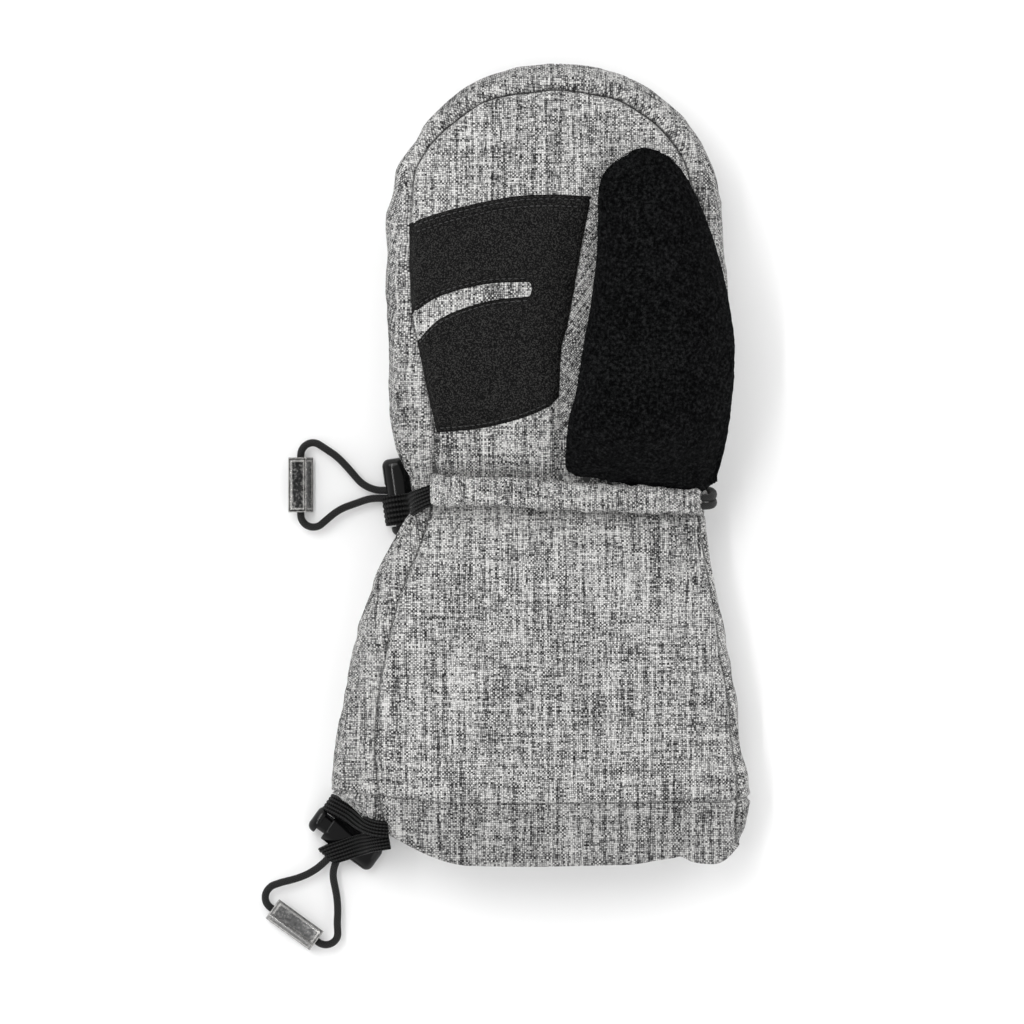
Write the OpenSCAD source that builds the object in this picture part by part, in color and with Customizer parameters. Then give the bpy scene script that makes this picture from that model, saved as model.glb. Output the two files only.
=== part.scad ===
// Padded ski mitten for a child's right hand, lying palm up.
// A drawcord with a spring cord lock closes the wrist, and another closes the hem of the cuff.
// Origin: under the centre of the wrist, on the plane the mitten lies on.
// +Y points to the fingertips, +X to the thumb side and +Z up out of the palm. Millimetres.

/* [Mitten] */
// From the middle of the wrist to the fingertips
hand_length = 144.5; // [140:0.5:152]
// Width of the hand part, lying flat
hand_width = 116; // [112:1:122]
// Width at the drawn-in wrist
wrist_width = 99; // [96:1:102]
// From the middle of the wrist to the rim of the hem
cuff_length = 124.5; // [120:0.5:130]
// Width of the cuff above the hem
hem_width = 139; // [136:1:144]
// Height of the hand part above the plane it lies on, without the thumb
hand_height = 44; // [43:0.5:47]
// Length of the rounded finger end
tip_length = 59.5; // [56:0.5:62]

/* [Layers] */
// Woven shell fabric
shell_t = 1; // [0.8:0.1:1.1]
// Fleece of the thumb cover
fleece_t = 1.6; // [1.2:0.1:1.8]
// Brushed lining
lining_t = 1.3; // [1:0.1:1.5]
// Free depth between the shell and the lining, which the wadding fills
loft = 3.9; // [3.5:0.1:4.2]
// Coated grip patch
patch_t = 0.9; // [0.7:0.1:1.2]

/* [Thumb] */
// Direction of the fold at the thumb's root, from +X towards +Y
fold_angle = 34.5; // [33:0.5:36]
// Depth that the palm gives under the folded thumb
thumb_dip = 9; // [8:0.5:10]

/* [Cords and locks] */
// Elastic cord
cord_d = 2.5; // [2.2:0.1:2.6]
// Width of the ribbed webbing that holds a cord lock
webbing_w = 9.5; // [9:0.5:10]
// Thickness of the webbing
webbing_t = 1.1; // [0.9:0.1:1.2]
// Length of a cord lock's barrel
barrel_l = 20; // [20:0.5:22]
// Width of the barrel, along the cord
barrel_w = 10; // [9.5:0.5:11]
// Thickness of the barrel
barrel_t = 5.8; // [5.6:0.1:5.9]
// Travel of the push button
button_travel = 2.8; // [2:0.1:3]
// Side of the square bead on the cord's end
bead_side = 6.6; // [6.2:0.1:7]
// Length of the bead
bead_l = 18.6; // [17:0.2:20]
// Bore of the bead
bead_bore = 3.2; // [3.1:0.1:3.4]
// Angle at which the two strands of a pull loop spread
spread_angle = 37; // [35:1:40]

/* [Hidden] */

shell_grey = [0.55, 0.55, 0.55];
fleece_black = [0.03, 0.03, 0.03];
patch_black = [0.07, 0.07, 0.08];
lining_grey = [0.3, 0.3, 0.32];
gunmetal = [0.3, 0.3, 0.3];
lock_black = [0.05, 0.05, 0.05];

gap = 0.3;              // clearance between neighbouring soft layers
clear = 0.25;           // clearance between hard pieces that slide
seam_angle = 31;        // where the side seam sits, from +X round the section
palm_cells = 10;        // cells round the palm side of a section
back_cells = 18;        // cells round the back of a section
section_power = 2.4;    // squareness of a section
tip_power = 2.2;        // squareness of the finger end
wrist_floor = 8;        // underside of the shell at the wrist
wrist_top = 32;         // top of the shell at the wrist
cord_z = 4.5;           // height of the straight part of the wrist cord
hem_band = 2 * cuff_length / 11;    // depth of the hem's tunnel
tip_start = hand_length - tip_length;
hh = hand_height;
ww = wrist_width / 2;
hw = hand_width / 2;
cw = hem_width / 2;

// Stations along the mitten: [y, left x, right x, underside z, top z].
// An underside below zero is cut off at the plane, which leaves the flat that the mitten lies on.
STATIONS = [
    [-cuff_length, -0.93 * cw, 0.86 * cw, 1, 0.76 * hh],
    [-0.9 * cuff_length, -1.07 * cw, 0.92 * cw, -2.5, 0.84 * hh],
    [-0.72 * cuff_length, -1.09 * cw, 0.915 * cw, -2.5, 0.88 * hh],
    [-0.48 * cuff_length, -1.02 * cw, 0.86 * cw, -2.5, 0.9 * hh],
    [-0.22 * cuff_length, -0.89 * cw, 0.76 * cw, -1, 0.85 * hh],
    [-6, -ww, ww, wrist_floor, wrist_top],
    [6, -ww, 1.04 * ww, wrist_floor, wrist_top],
    [25, -0.99 * hw, 0.97 * hw, -1, 0.9 * hh],
    [55, -1.008 * hw, 1.005 * hw, -2.5, hh],
    [tip_start, -1.003 * hw, 0.958 * hw, -2.5, 0.98 * hh]
];

// ---------- curves ----------

function clamp(t) = min(1, max(0, t));
function smooth(t) = let (c = clamp(t)) c * c * (3 - 2 * c);
function mix(a, b, t) = a + (b - a) * t;
function signed_power(c, p) = sign(c) * pow(abs(c), p);
function flatten(rows) = [for (row = rows) each row];

// Smooth curve through the rows of a table, read at the value x of its first column.
function slope(t, i, c) =
    let (a = max(0, i - 1), b = min(len(t) - 1, i + 1)) (t[b][c] - t[a][c]) / (t[b][0] - t[a][0]);
function segment(t, x, i = 0) = i >= len(t) - 2 || x < t[i + 1][0] ? i : segment(t, x, i + 1);
function curve(t, x, c) =
    let (v = max(t[0][0], min(t[len(t) - 1][0], x)), i = segment(t, v), d = t[i + 1][0] - t[i][0])
    let (s = (v - t[i][0]) / d, s2 = s * s, s3 = s2 * s)
    t[i][c] * (2 * s3 - 3 * s2 + 1) + t[i + 1][c] * (3 * s2 - 2 * s3)
    + slope(t, i, c) * d * (s3 - 2 * s2 + s) + slope(t, i + 1, c) * d * (s3 - s2);

// ---------- closed solids from rows of points ----------

// A sheet between the point grids outer and inner. Cells that hole() picks by their middle are
// left out, and wrap joins the last column to the first.
module sheet(outer, inner, wrap = false, hole = function(p) false) {
    rows = len(outer);
    cols = len(outer[0]);
    cells = wrap ? cols : cols - 1;
    points = concat(flatten(outer), flatten(inner));
    mid = function(i, j) (outer[i][j] + outer[i + 1][(j + 1) % cols]) / 2;
    on = function(i, j) let (k = wrap ? (j + cells) % cells : j)
        i >= 0 && i < rows - 1 && k >= 0 && k < cells && !hole(mid(i, k));
    at = function(side, i, j) side * rows * cols + i * cols + (j % cols);
    wall = function(i1, j1, i2, j2) [at(0, i2, j2), at(0, i1, j1), at(1, i1, j1), at(1, i2, j2)];
    quads = [
        for (i = [0 : rows - 2], j = [0 : cells - 1]) if (on(i, j)) each [
            [at(0, i, j), at(0, i + 1, j), at(0, i + 1, j + 1), at(0, i, j + 1)],
            [at(1, i, j + 1), at(1, i + 1, j + 1), at(1, i + 1, j), at(1, i, j)],
            if (!on(i, j - 1)) wall(i, j, i + 1, j),
            if (!on(i + 1, j)) wall(i + 1, j, i + 1, j + 1),
            if (!on(i, j + 1)) wall(i + 1, j + 1, i, j + 1),
            if (!on(i - 1, j)) wall(i, j + 1, i, j)
        ]
    ];
    polyhedron(points, [for (q = quads, t = [[q[0], q[1], q[2]], [q[0], q[2], q[3]]]) if (real(points, t)) t]);
}

// False for a triangle with two corners in one place, as at the pole of a closed end.
function real(p, t) =
    norm(p[t[0]] - p[t[1]]) > 1e-4 && norm(p[t[1]] - p[t[2]]) > 1e-4 && norm(p[t[2]] - p[t[0]]) > 1e-4;

// A solid round rod along a path. The section keeps its side direction as near to up as it can.
module rod(path, d, sides = 10, up = [0, 0, 1]) {
    last = len(path) - 1;
    rings = [for (i = [0 : last])
        let (t = unit(path[min(last, i + 1)] - path[max(0, i - 1)]), s = unit(cross(t, up)), n = cross(s, t))
        [for (k = [0 : sides - 1]) path[i] + d / 2 * (cos(360 * k / sides) * s + sin(360 * k / sides) * n)]];
    caps = [[for (k = [0 : sides - 1]) k], [for (k = [sides - 1 : -1 : 0]) last * sides + k]];
    skin = [for (i = [0 : last - 1], k = [0 : sides - 1])
        let (a = i * sides + k, b = i * sides + (k + 1) % sides)
        each [[a, a + sides, b + sides], [a, b + sides, b]]];
    polyhedron(flatten(rings), concat(caps, skin));
}
function unit(v) = v / norm(v);

// ---------- the mitten's body surface ----------

function tip_share(y, o) = clamp((y - tip_start) / (tip_length - o));
function tip_scale(y, o) = pow(1 - pow(tip_share(y, o), tip_power), 1 / tip_power);

// How far the palm sinks under the folded thumb.
function dip(x, y) =
    let (r = norm([(x - 0.53 * hw) / (0.72 * hw), (y - 56) / 70])) thumb_dip * smooth(1.35 * (1 - r));

// The rim of the hem rises towards the corner that holds the cord lock.
function rim_lift(x, y) =
    (18 * smooth((-x - 0.45 * cw) / (0.75 * cw)) + smooth((x - 0.6 * cw) / (0.4 * cw)))
    * smooth((-y - 0.76 * cuff_length) / (0.24 * cuff_length));

// The underside of that corner curls up, so that the cord can pass below it.
function curl(x, y) =
    7 * smooth((-x - 0.575 * cw) / (0.17 * cw)) * smooth((-y - 0.69 * cuff_length) / (0.08 * cuff_length));

// A point of the surface that lies o inside the outside of the shell, at y and the angle a round the section.
function body_point(y, a, o) =
    let (l = curve(STATIONS, y, 1), r = curve(STATIONS, y, 2))
    let (b = curve(STATIONS, y, 3), t = curve(STATIONS, y, 4))
    let (tip = tip_scale(y, o), side = tip_share(y, o))
    let (c = tip * signed_power(cos(a), 2 / section_power), edge_x = (l + r) / 2 + (r - l) / 2 * c)
    let (x = edge_x - o * c)
    let (zc = mix((b + t) / 2, 0.38 * hh, side * side))
    let (z = max(o + curl(x, y), zc + ((t - b) / 2 - o) * tip * signed_power(sin(a), 2 / section_power)))
    [x, y + rim_lift(edge_x, y), z - (sin(a) > 0 ? dip(x, y) * pow(sin(a), 0.5) : 0)];

function body_angles() = concat(
    [for (k = [0 : palm_cells - 1]) seam_angle + k * (180 - 2 * seam_angle) / palm_cells],
    [for (k = [0 : back_cells - 1]) 180 - seam_angle + k * (180 + 2 * seam_angle) / back_cells]);
function palm_angles() = [for (k = [0 : palm_cells])
    seam_angle + gap + k * (180 - 2 * seam_angle - 2 * gap) / palm_cells];

function steps(from, to, n) = [for (k = [0 : n]) mix(from, to, k / n)];
// Stations of the hand from the wrist to the pole at the fingertips, without the first few.
function hand_ys(o, skip = 0) = concat(
    [for (k = [skip : 9]) mix(gap, tip_start, k / 9)],
    [for (k = [1 : 6]) tip_start + (tip_length - o) * sin(15 * k)]);
function grid(ys, angles, o) = [for (y = ys) [for (a = angles) body_point(y, a, o)]];

function lining_offset(y) = shell_t + 0.8 + (loft - 0.4) * smooth((abs(y) - 10) / 14);
palm_end = hand_ys(0)[13];
thumb_hole = function(p) p[0] > 0.24 * hw && p[0] < 0.8 * hw && p[1] > 16 && p[1] < 46 && p[2] > 0.4 * hh;

module palm_shell() {
    ys = [for (y = hand_ys(0)) if (y <= palm_end) min(y, palm_end - shell_t - gap)];
    color(shell_grey)
        sheet(grid(ys, palm_angles(), 0), grid(ys, palm_angles(), shell_t), hole = thumb_hole);
}

// The back panel wraps round both edges and the fingertips to the palm side.
module back_shell() {
    angles = body_angles();
    panel = function(p) p[1] < palm_end && p[2] > 0.42 * hh * (1 - 0.3 * tip_share(p[1], 0)) && in_palm(p);
    color(shell_grey) sheet(
        grid(hand_ys(0), angles, 0), grid(hand_ys(shell_t), angles, shell_t), wrap = true, hole = panel);
}
// True where a point of the outer surface lies between the two side seams.
function in_palm(p) =
    let (l = curve(STATIONS, p[1], 1), r = curve(STATIONS, p[1], 2), tip = tip_scale(p[1], 0))
    abs(p[0] - (l + r) / 2) < (r - l) / 2 * tip * pow(cos(seam_angle), 2 / section_power);

cuff_ys = steps(-cuff_length, -gap, 11);
module cuff_palm_shell()
    color(shell_grey) sheet(grid(cuff_ys, palm_angles(), 0), grid(cuff_ys, palm_angles(), shell_t));
module cuff_back_shell() {
    angles = [for (k = [0 : back_cells]) 180 - seam_angle + k * (180 + 2 * seam_angle) / back_cells];
    color(shell_grey) sheet(grid(cuff_ys, angles, 0), grid(cuff_ys, angles, shell_t));
}

// The turned-in edge of the cuff, which leaves a tunnel for the hem cord.
module hem_facing() {
    ys = steps(-cuff_length, hem_band - cuff_length, 6);
    depth = [for (k = [0 : 6]) shell_t + 0.5 + (cord_d + 1.75) * pow(sin(30 * k), 0.5)];
    angles = body_angles();
    color(shell_grey) sheet(
        [for (i = [0 : 6]) [for (a = angles) body_point(ys[i], a, depth[i])]],
        [for (i = [0 : 6]) [for (a = angles) body_point(ys[i], a, depth[i] + 0.7)]], wrap = true);
}

module hand_insulation() {
    angles = body_angles();
    outside = shell_t + 0.6;
    color("white") sheet(
        grid(hand_ys(outside, 2), angles, outside),
        [for (y = hand_ys(shell_t + loft - 0.2, 2))
            [for (a = angles) body_point(y, a, lining_offset(y) - 2 * gap)]],
        wrap = true, hole = thumb_hole);
}

module hand_lining() {
    angles = body_angles();
    deep = shell_t + 0.4 + loft;
    color(lining_grey) sheet(
        [for (y = hand_ys(deep)) [for (a = angles) body_point(y, a, lining_offset(y))]],
        [for (y = hand_ys(deep + lining_t)) [for (a = angles) body_point(y, a, lining_offset(y) + lining_t)]],
        wrap = true, hole = thumb_hole);
}

module cuff_lining() {
    angles = body_angles();
    ys = steps(2 - cuff_length, -gap, 9);
    inset = [for (y = ys) lining_offset(y) + gap + 1.7 * smooth((-y - 0.7 * cuff_length) / 12)];
    color(lining_grey) sheet(
        [for (i = [0 : 9]) [for (a = angles) body_point(ys[i], a, inset[i])]],
        [for (i = [0 : 9]) [for (a = angles) body_point(ys[i], a, inset[i] + lining_t)]], wrap = true);
}

// Blank care label sewn in the side seam of the cuff lining.
module care_label()
    color("white") translate([-0.77 * cw, -70, 0.37 * hh]) cube([0.5, 18, 9]);

// ---------- grip patch ----------

// Edges of the patch, at the share u from its outer side to its thumb side.
function patch_foot(u) = 20.8 + 9.5 * pow(u, 2.2);
function patch_head(u) = 91 + 9.2 * sin(90 * clamp(1.25 * u));
function slit_foot(u) = 50.3 + 17 * sin(90 * clamp(1.2 * u));
function slit_head(u) = slit_foot(u) + mix(9, 3.4, clamp(2.2 * u));
function patch_x(u, y) = mix(
    mix(-0.72 * hw, -0.865 * hw, clamp((y - 20) / 35)), mix(0.01 * hw, 0.19 * hw, clamp((y - 30) / 70)), u);

module grip_patch() {
    slit_share = 0.75;
    us = steps(0, 1, 12);
    rise = function(u) concat(
        steps(patch_foot(u), slit_foot(u), 5), steps(slit_head(u), patch_head(u), 5));
    lie = function(u, y, up) let (x = patch_x(u, y)) [x, y, palm_z(x, y) + up];
    color(patch_black) sheet(
        [for (u = us) [for (y = rise(u)) lie(u, y, gap + patch_t)]],
        [for (u = us) [for (y = rise(u)) lie(u, y, gap)]],
        hole = function(p) in_slit(p, slit_share));
}
function in_slit(p, share) =
    let (l = patch_x(0, p[1]), r = patch_x(1, p[1]), u = (p[0] - l) / (r - l))
    u < share && p[1] > slit_foot(u) && p[1] < slit_head(u);

// Height of the outside of the palm at x and y.
function palm_z(x, y) =
    let (l = curve(STATIONS, y, 1), r = curve(STATIONS, y, 2))
    let (b = curve(STATIONS, y, 3), t = curve(STATIONS, y, 4))
    let (tip = tip_scale(y, 0), side = tip_share(y, 0), s = clamp(abs(x - (l + r) / 2) / ((r - l) / 2 * tip)))
    let (lift = pow(1 - pow(s, section_power), 1 / section_power))
    mix((b + t) / 2, 0.38 * hh, side * side) + (t - b) / 2 * tip * lift - dip(x, y) * pow(lift, 0.25);

// ---------- thumb ----------

fold_at = [0.06 * hw, 12, 0];
along = [cos(fold_angle), sin(fold_angle), 0];
away = [-sin(fold_angle), cos(fold_angle), 0];
thumb_power = 2.3;

// Stations across the thumb, away from the fold: [distance, start and end along the fold, underside z, top z].
THUMB = [
    [-31, 35, 41, 0.66 * hh, 0.82 * hh],
    [-25, 27, 47, 0.72 * hh, 0.96 * hh],
    [-13, 11, 57, 0.79 * hh, 1.13 * hh],
    [0, 1, 67, 0.79 * hh, 1.22 * hh],
    [17, 15, 74.5, 0.79 * hh, 1.23 * hh],
    [34, 31, 80, 0.79 * hh, 1.21 * hh],
    [51, 47, 84, 0.845 * hh, 1.17 * hh],
    [60, 54.5, 85, 0.885 * hh, 1.145 * hh],
    [66, 59.5, 83.5, 0.915 * hh, 1.11 * hh],
    [70, 64.5, 80.5, 0.945 * hh, 1.07 * hh],
    [72.5, 72.5, 72.5, 1.005 * hh, 1.005 * hh]
];
thumb_end = 72.5;

function thumb_droop(x) = 0.0045 * pow(max(0, x - 0.43 * hw), 2);
function thumb_point(n, a, o) =
    let (w = max(0, (curve(THUMB, n, 2) - curve(THUMB, n, 1)) / 2 - o * thumb_room(n)))
    let (h = max(0, (curve(THUMB, n, 4) - curve(THUMB, n, 3)) / 2 - o * thumb_room(n)))
    let (c = (curve(THUMB, n, 1) + curve(THUMB, n, 2)) / 2, z = (curve(THUMB, n, 3) + curve(THUMB, n, 4)) / 2)
    let (s = c + w * signed_power(cos(a), 2 / thumb_power))
    let (p = fold_at + (n - o * smooth((n - 40) / 25)) * away + s * along)
    [p[0], p[1], z + h * signed_power(sin(a), 2 / thumb_power) - thumb_droop(p[0])];
// At the end of the thumb the layers close up to a pole, so their inset fades out.
function thumb_room(n) = 1 - smooth((n - 66) / 6.5);
function thumb_grid(ns, angles, o) = [for (n = ns) [for (a = angles) thumb_point(n, a, o)]];
function thumb_ns() = concat(steps(0.2, 51, 7), [57, 63, 68, 71, thumb_end]);

// The part of the cover that stays on the palm, between the fold and the wrist.
module thumb_base_fleece() {
    ns = [-31, -26, -20, -13, -6, -0.2];
    angles = steps(-35, 215, 14);
    color(fleece_black) sheet(thumb_grid(ns, angles, 0), thumb_grid(ns, angles, fleece_t));
}
module thumb_fleece() {
    angles = steps(-8, 188, 14);
    color(fleece_black) sheet(thumb_grid(thumb_ns(), angles, 0), thumb_grid(thumb_ns(), angles, fleece_t));
}
module thumb_inner_panel() {
    angles = steps(190, 350, 8);
    color(shell_grey) sheet(thumb_grid(thumb_ns(), angles, 0), thumb_grid(thumb_ns(), angles, shell_t));
}
module thumb_lining() {
    angles = steps(0, 342, 19);
    start = fleece_t + gap;
    ns = concat(steps(0.2, 51, 7), [57, 62]);
    color(lining_grey) sheet(
        thumb_grid(ns, angles, start), thumb_grid(ns, angles, start + lining_t), wrap = true);
}

// ---------- wrist casings ----------

casing_w = 11;
casing_h = 4.9;
function casing_z(x) = palm_z(x, 0) + 1.5 + casing_h / 2;
// Shell strip on the palm side, following the curve of the wrist.
module wrist_casing_palm() {
    ring = function(x, inset) [for (a = steps(0, 330, 11))
        [x, (casing_w / 2 - inset) * signed_power(cos(a), 0.7),
        casing_z(x) + (casing_h / 2 - inset) * signed_power(sin(a), 0.7)]];
    xs = steps(-0.85 * ww, 0.87 * ww, 14);
    color(shell_grey) sheet([for (x = xs) ring(x, 0)], [for (x = xs) ring(x, 0.8)], wrap = true);
}
// Straight strip on the back. Its flat underside carries the wrist.
module wrist_casing_back() {
    high = wrist_floor - 2 * gap;
    color(shell_grey) translate([-0.82 * ww, 0, 0]) rotate([90, 0, 90]) linear_extrude(1.64 * ww) difference() {
        casing_section(casing_w, high, 2.2);
        translate([0, shell_t]) casing_section(casing_w - 2 * shell_t, high - 2 * shell_t, 1.4);
    }
}
module casing_section(w, h, r) {
    translate([-w / 2, r]) square([w, h - 2 * r]);
    translate([r - w / 2, 0]) square([w - 2 * r, h]);
    for (x = [r - w / 2, w / 2 - r], y = [r, h - r]) translate([x, y]) circle(r, $fn = 48);
}

// ---------- cords ----------

strand = cord_d / 2 + 0.1;      // each of the two strands runs this far from the middle
loop_r1 = 13;                   // first bend of a pull loop
loop_r2 = 4.2;                  // bend into the bead
stub = 0.8;                     // straight cord outside the bead
loop_start = barrel_w / 2 + 1.8;
bead_y = bead_l / 2 + stub;
spread_y = bead_y - strand - loop_r1 * (1 - cos(spread_angle)) + loop_r2 * cos(spread_angle);
straight = spread_y / sin(spread_angle);
bends_x = loop_r1 * sin(spread_angle) + loop_r2 * (1 + sin(spread_angle));
bead_x = loop_start + bends_x + straight * cos(spread_angle);
hem_travel = 20;
wrist_skew = 3.2;               // how far the bead end of each loop hangs to one side
hem_skew = 2.6;

// Half of a pull loop, from its tail through the lock to the middle of the bead, in the lock's own frame.
function half_loop(tail) =
    let (s = spread_angle, p1 = [loop_start, strand])
    let (p2 = p1 + loop_r1 * [sin(s), 1 - cos(s)], p3 = p2 + straight * [cos(s), sin(s)])
    let (c = p3 + loop_r2 * [sin(s), -cos(s)])
    concat(
        [[-tail, strand], [-tail / 2, strand], [0, strand]],
        [for (k = [0 : 5]) p1 + loop_r1 * [sin(s * k / 5), 1 - cos(s * k / 5)]],
        [for (k = [1 : 3]) mix(p2, p3, k / 4)],
        [for (k = [0 : 7]) let (t = s - k * (90 + s) / 7) c + loop_r2 * [-sin(t), cos(t)]],
        [[bead_x, 0]]);
// The whole pull loop, as one cord, with its bead end hanging skew to one side. It is pulled along -X.
module pull_loop(tail, skew) {
    half = half_loop(tail);
    n = len(half);
    other = [for (k = [n - 2 : -1 : 0]) [half[k][0], -half[k][1]]];
    color([0.12, 0.12, 0.11])
        rod([for (p = concat(half, other)) [-p[0], p[1] + skew * smooth((p[0] - loop_start) / 18), 0]], cord_d);
}

// Doubled cord that runs on through the casings, round the thumb side, and ends at the outer side.
module wrist_drawcord() {
    side = ww + cord_d / 2 + 0.9;
    pts = [
        [1, cord_z], [0.4 * ww, cord_z], [0.78 * ww, cord_z], [0.97 * ww, cord_z + 4.6], [side, 17],
        [0.98 * side, 25], [0.87 * ww, casing_z(0.87 * ww)],
        each [for (x = steps(0.7 * ww, -0.78 * ww, 7)) [x, casing_z(x)]]
    ];
    chart = [for (i = [0 : len(pts) - 1]) [i, pts[i][0], pts[i][1]]];
    path = [for (k = steps(0, len(pts) - 1, 38)) [curve(chart, k, 1), 0, curve(chart, k, 2)]];
    for (y = [-strand, strand])
        color([0.12, 0.12, 0.11]) translate([0, y, 0]) rod(path, cord_d, sides = 8, up = [0, 1, 0]);
}

// Single cord that runs round inside the hem's tunnel.
module hem_drawcord() {
    inset = shell_t + 1.1 + cord_d / 2;
    color([0.12, 0.12, 0.11])
        rod([for (a = body_angles()) body_point(cuff_ys[1], a, inset)], cord_d, sides = 8, up = [0, 1, 0]);
}

// ---------- cord locks ----------

// In a lock's own frame the cord runs along X, the barrel's axis is Y and the closed end is at +Y.
wrist_lock_at = [-0.5 * wrist_width - 4.2, 0, cord_z];
wrist_lock_tilt = 8;
hem_lock_at = [-1.035 * cw, -0.94 * cuff_length, 4.6];
hem_pull_angle = 54;
cord_share = 0.62;              // where the cord crosses, from the closed end
slot_h = 2 * cord_d + 0.8;
end_wall = 2;
spring_room = 5.6;
stem_w = 6.4;
stem_t = 3.9;
cap_t = 3.2;
closed_end = cord_share * barrel_l;
open_end = closed_end - barrel_l;
stem_top = closed_end - end_wall - spring_room;
cap_top = open_end - button_travel - 0.2;

module at_wrist_lock() translate(wrist_lock_at) rotate([0, 0, wrist_lock_tilt]) children();
module at_hem_lock() translate(hem_lock_at) rotate([0, 0, hem_pull_angle]) rotate([180, 0, 0]) children();

// Flat oval bar along Y, from y1 to y2.
module oval_bar(w, t, y1, y2) translate([0, y2, 0]) rotate([90, 0, 0]) linear_extrude(y2 - y1) {
    square([w - t, t], center = true);
    for (x = [(t - w) / 2, (w - t) / 2]) translate([x, 0]) circle(d = t, $fn = 64);
}
// Opening for the two strands, along X, turned by the angle that the barrel leans.
module cord_slot(h, t, lean) rotate([0, 0, -lean]) rotate([90, 0, 90])
    linear_extrude(3 * barrel_w, center = true) {
        square([h - t, t], center = true);
        for (y = [(t - h) / 2, (h - t) / 2]) translate([y, 0]) circle(d = t, $fn = 48);
    }

module lock_barrel(lean) color(lock_black) difference() {
    oval_bar(barrel_w, barrel_t, open_end, closed_end);
    oval_bar(stem_w + 2 * clear, stem_t + 2 * clear * 0.6, open_end - 1, closed_end - end_wall);
    cord_slot(slot_h + 2 * barrel_w / 2 * tan(lean), cord_d + 0.5, lean);
}
module lock_plunger(lean) color(lock_black) difference() {
    union() {
        oval_bar(stem_w, stem_t, open_end - button_travel - 0.5, stem_top);
        oval_bar(barrel_w - 0.6, barrel_t, cap_top - cap_t, cap_top);
    }
    slot_lean = stem_w / 2 * tan(lean);
    translate([0, -button_travel / 2 - 0.1, 0])
        cord_slot(slot_h + button_travel + 2 * slot_lean + 0.4, cord_d + 0.5, lean);
}
module lock_spring() {
    coils = 3.5;
    wire = 0.45;
    r = (stem_t - wire) / 2 - 0.1;
    path = [for (k = steps(0, 1, 42))
        [r * cos(360 * coils * k), stem_top + wire + (spring_room - 2 * wire) * k, r * sin(360 * coils * k)]];
    color("silver") rod(path, wire, sides = 6, up = [0, 1, 0]);
}
// Webbing folded round the barrel. Its upper leg climbs over the edge of the mitten to the seam on the
// palm side, and a hole at the fold lets the two strands out.
module lock_tab(upper, reach, lean) {
    r = barrel_t / 2 + 0.2;
    c = (barrel_t - barrel_w) / 2 - 0.1;
    mid = (r - c) * tan(lean);
    slot = slot_h / 2 + 0.4;
    path = concat(
        upper, [[1.5, r + 0.4], [c, r]],
        [for (a = [105, 125, 145]) [c + r * cos(a), r * sin(a)]],
        [for (z = [0.5 * r, -0.5 * r]) [c - r - 0.1, z]],
        [for (a = [215, 235, 255]) [c + r * cos(a), r * sin(a)]],
        [[c, -r], [0.45 * reach, -r], [reach, -r]]);
    last = len(path) - 1;
    normal = function(i)
        let (t = unit(path[min(last, i + 1)] - path[max(0, i - 1)])) [t[1], -t[0]];
    face = function(d) [for (y = [-webbing_w / 2, mid - slot, mid + slot, webbing_w / 2])
        [for (i = [0 : last]) let (p = path[i] + d * normal(i)) [p[0], y, p[1]]]];
    color(lock_black) sheet(
        face(webbing_t), face(0),
        hole = function(p) p[0] < c - 0.8 * r && abs(p[1] - mid) < 1 && abs(p[2]) < 1);
}

// Square tube with chamfered edges and a sunk panel on each side. Its bore runs along Y.
module bead() color(gunmetal) difference() {
    rotate([90, 0, 0]) linear_extrude(bead_l, center = true) polygon(bead_outline());
    rotate([90, 0, 0]) cylinder(d = bead_bore, h = bead_l + 2, center = true, $fn = 64);
    for (k = [0 : 3]) rotate([0, 90 * k, 0])
        translate([0, 0, bead_side / 2]) cube([bead_side - 1.8, bead_l - 2, 0.6], center = true);
}
function bead_outline() = let (s = bead_side / 2, c = 0.5)
    [[s - c, -s], [s, c - s], [s, s - c], [s - c, s], [c - s, s], [-s, s - c], [-s, c - s], [c - s, -s]];

// ---------- placed pieces ----------

module wrist_cord_loop() translate(wrist_lock_at) pull_loop(-wrist_lock_at[0] - gap, wrist_skew);
module wrist_bead() translate(wrist_lock_at + [-bead_x, wrist_skew, 0]) rotate([0, -20, 0]) bead();
module wrist_lock_tab() at_wrist_lock()
    lock_tab([[10.8, 24], [7.2, 22.8], [4, 20], [2.6, 15.5], [2.3, 9]], 11.5, wrist_lock_tilt);
module wrist_lock_barrel() at_wrist_lock() lock_barrel(wrist_lock_tilt);
module wrist_lock_plunger() at_wrist_lock() lock_plunger(wrist_lock_tilt);
module wrist_lock_spring() at_wrist_lock() lock_spring();
module hem_cord_loop() at_hem_lock() pull_loop(hem_travel + 1, hem_skew);
module hem_bead() at_hem_lock() translate([-bead_x, hem_skew, 0]) rotate([0, -18, 0]) bead();
module hem_lock_tab() translate(hem_lock_at) rotate([0, 0, hem_pull_angle])
    lock_tab([[17.5, 28], [13, 25.8], [9, 21], [6.2, 13]], 15, 0);
module hem_lock_barrel() at_hem_lock() lock_barrel(0);
module hem_lock_plunger() at_hem_lock() lock_plunger(0);
module hem_lock_spring() at_hem_lock() lock_spring();

palm_shell();
back_shell();
cuff_palm_shell();
cuff_back_shell();
hem_facing();
hand_insulation();
hand_lining();
cuff_lining();
grip_patch();
care_label();
wrist_casing_palm();
wrist_casing_back();
thumb_base_fleece();
thumb_fleece();
thumb_inner_panel();
thumb_lining();
wrist_drawcord();
wrist_cord_loop();
wrist_bead();
wrist_lock_tab();
wrist_lock_barrel();
wrist_lock_plunger();
wrist_lock_spring();
hem_drawcord();
hem_cord_loop();
hem_bead();
hem_lock_tab();
hem_lock_barrel();
hem_lock_plunger();
hem_lock_spring();
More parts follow.
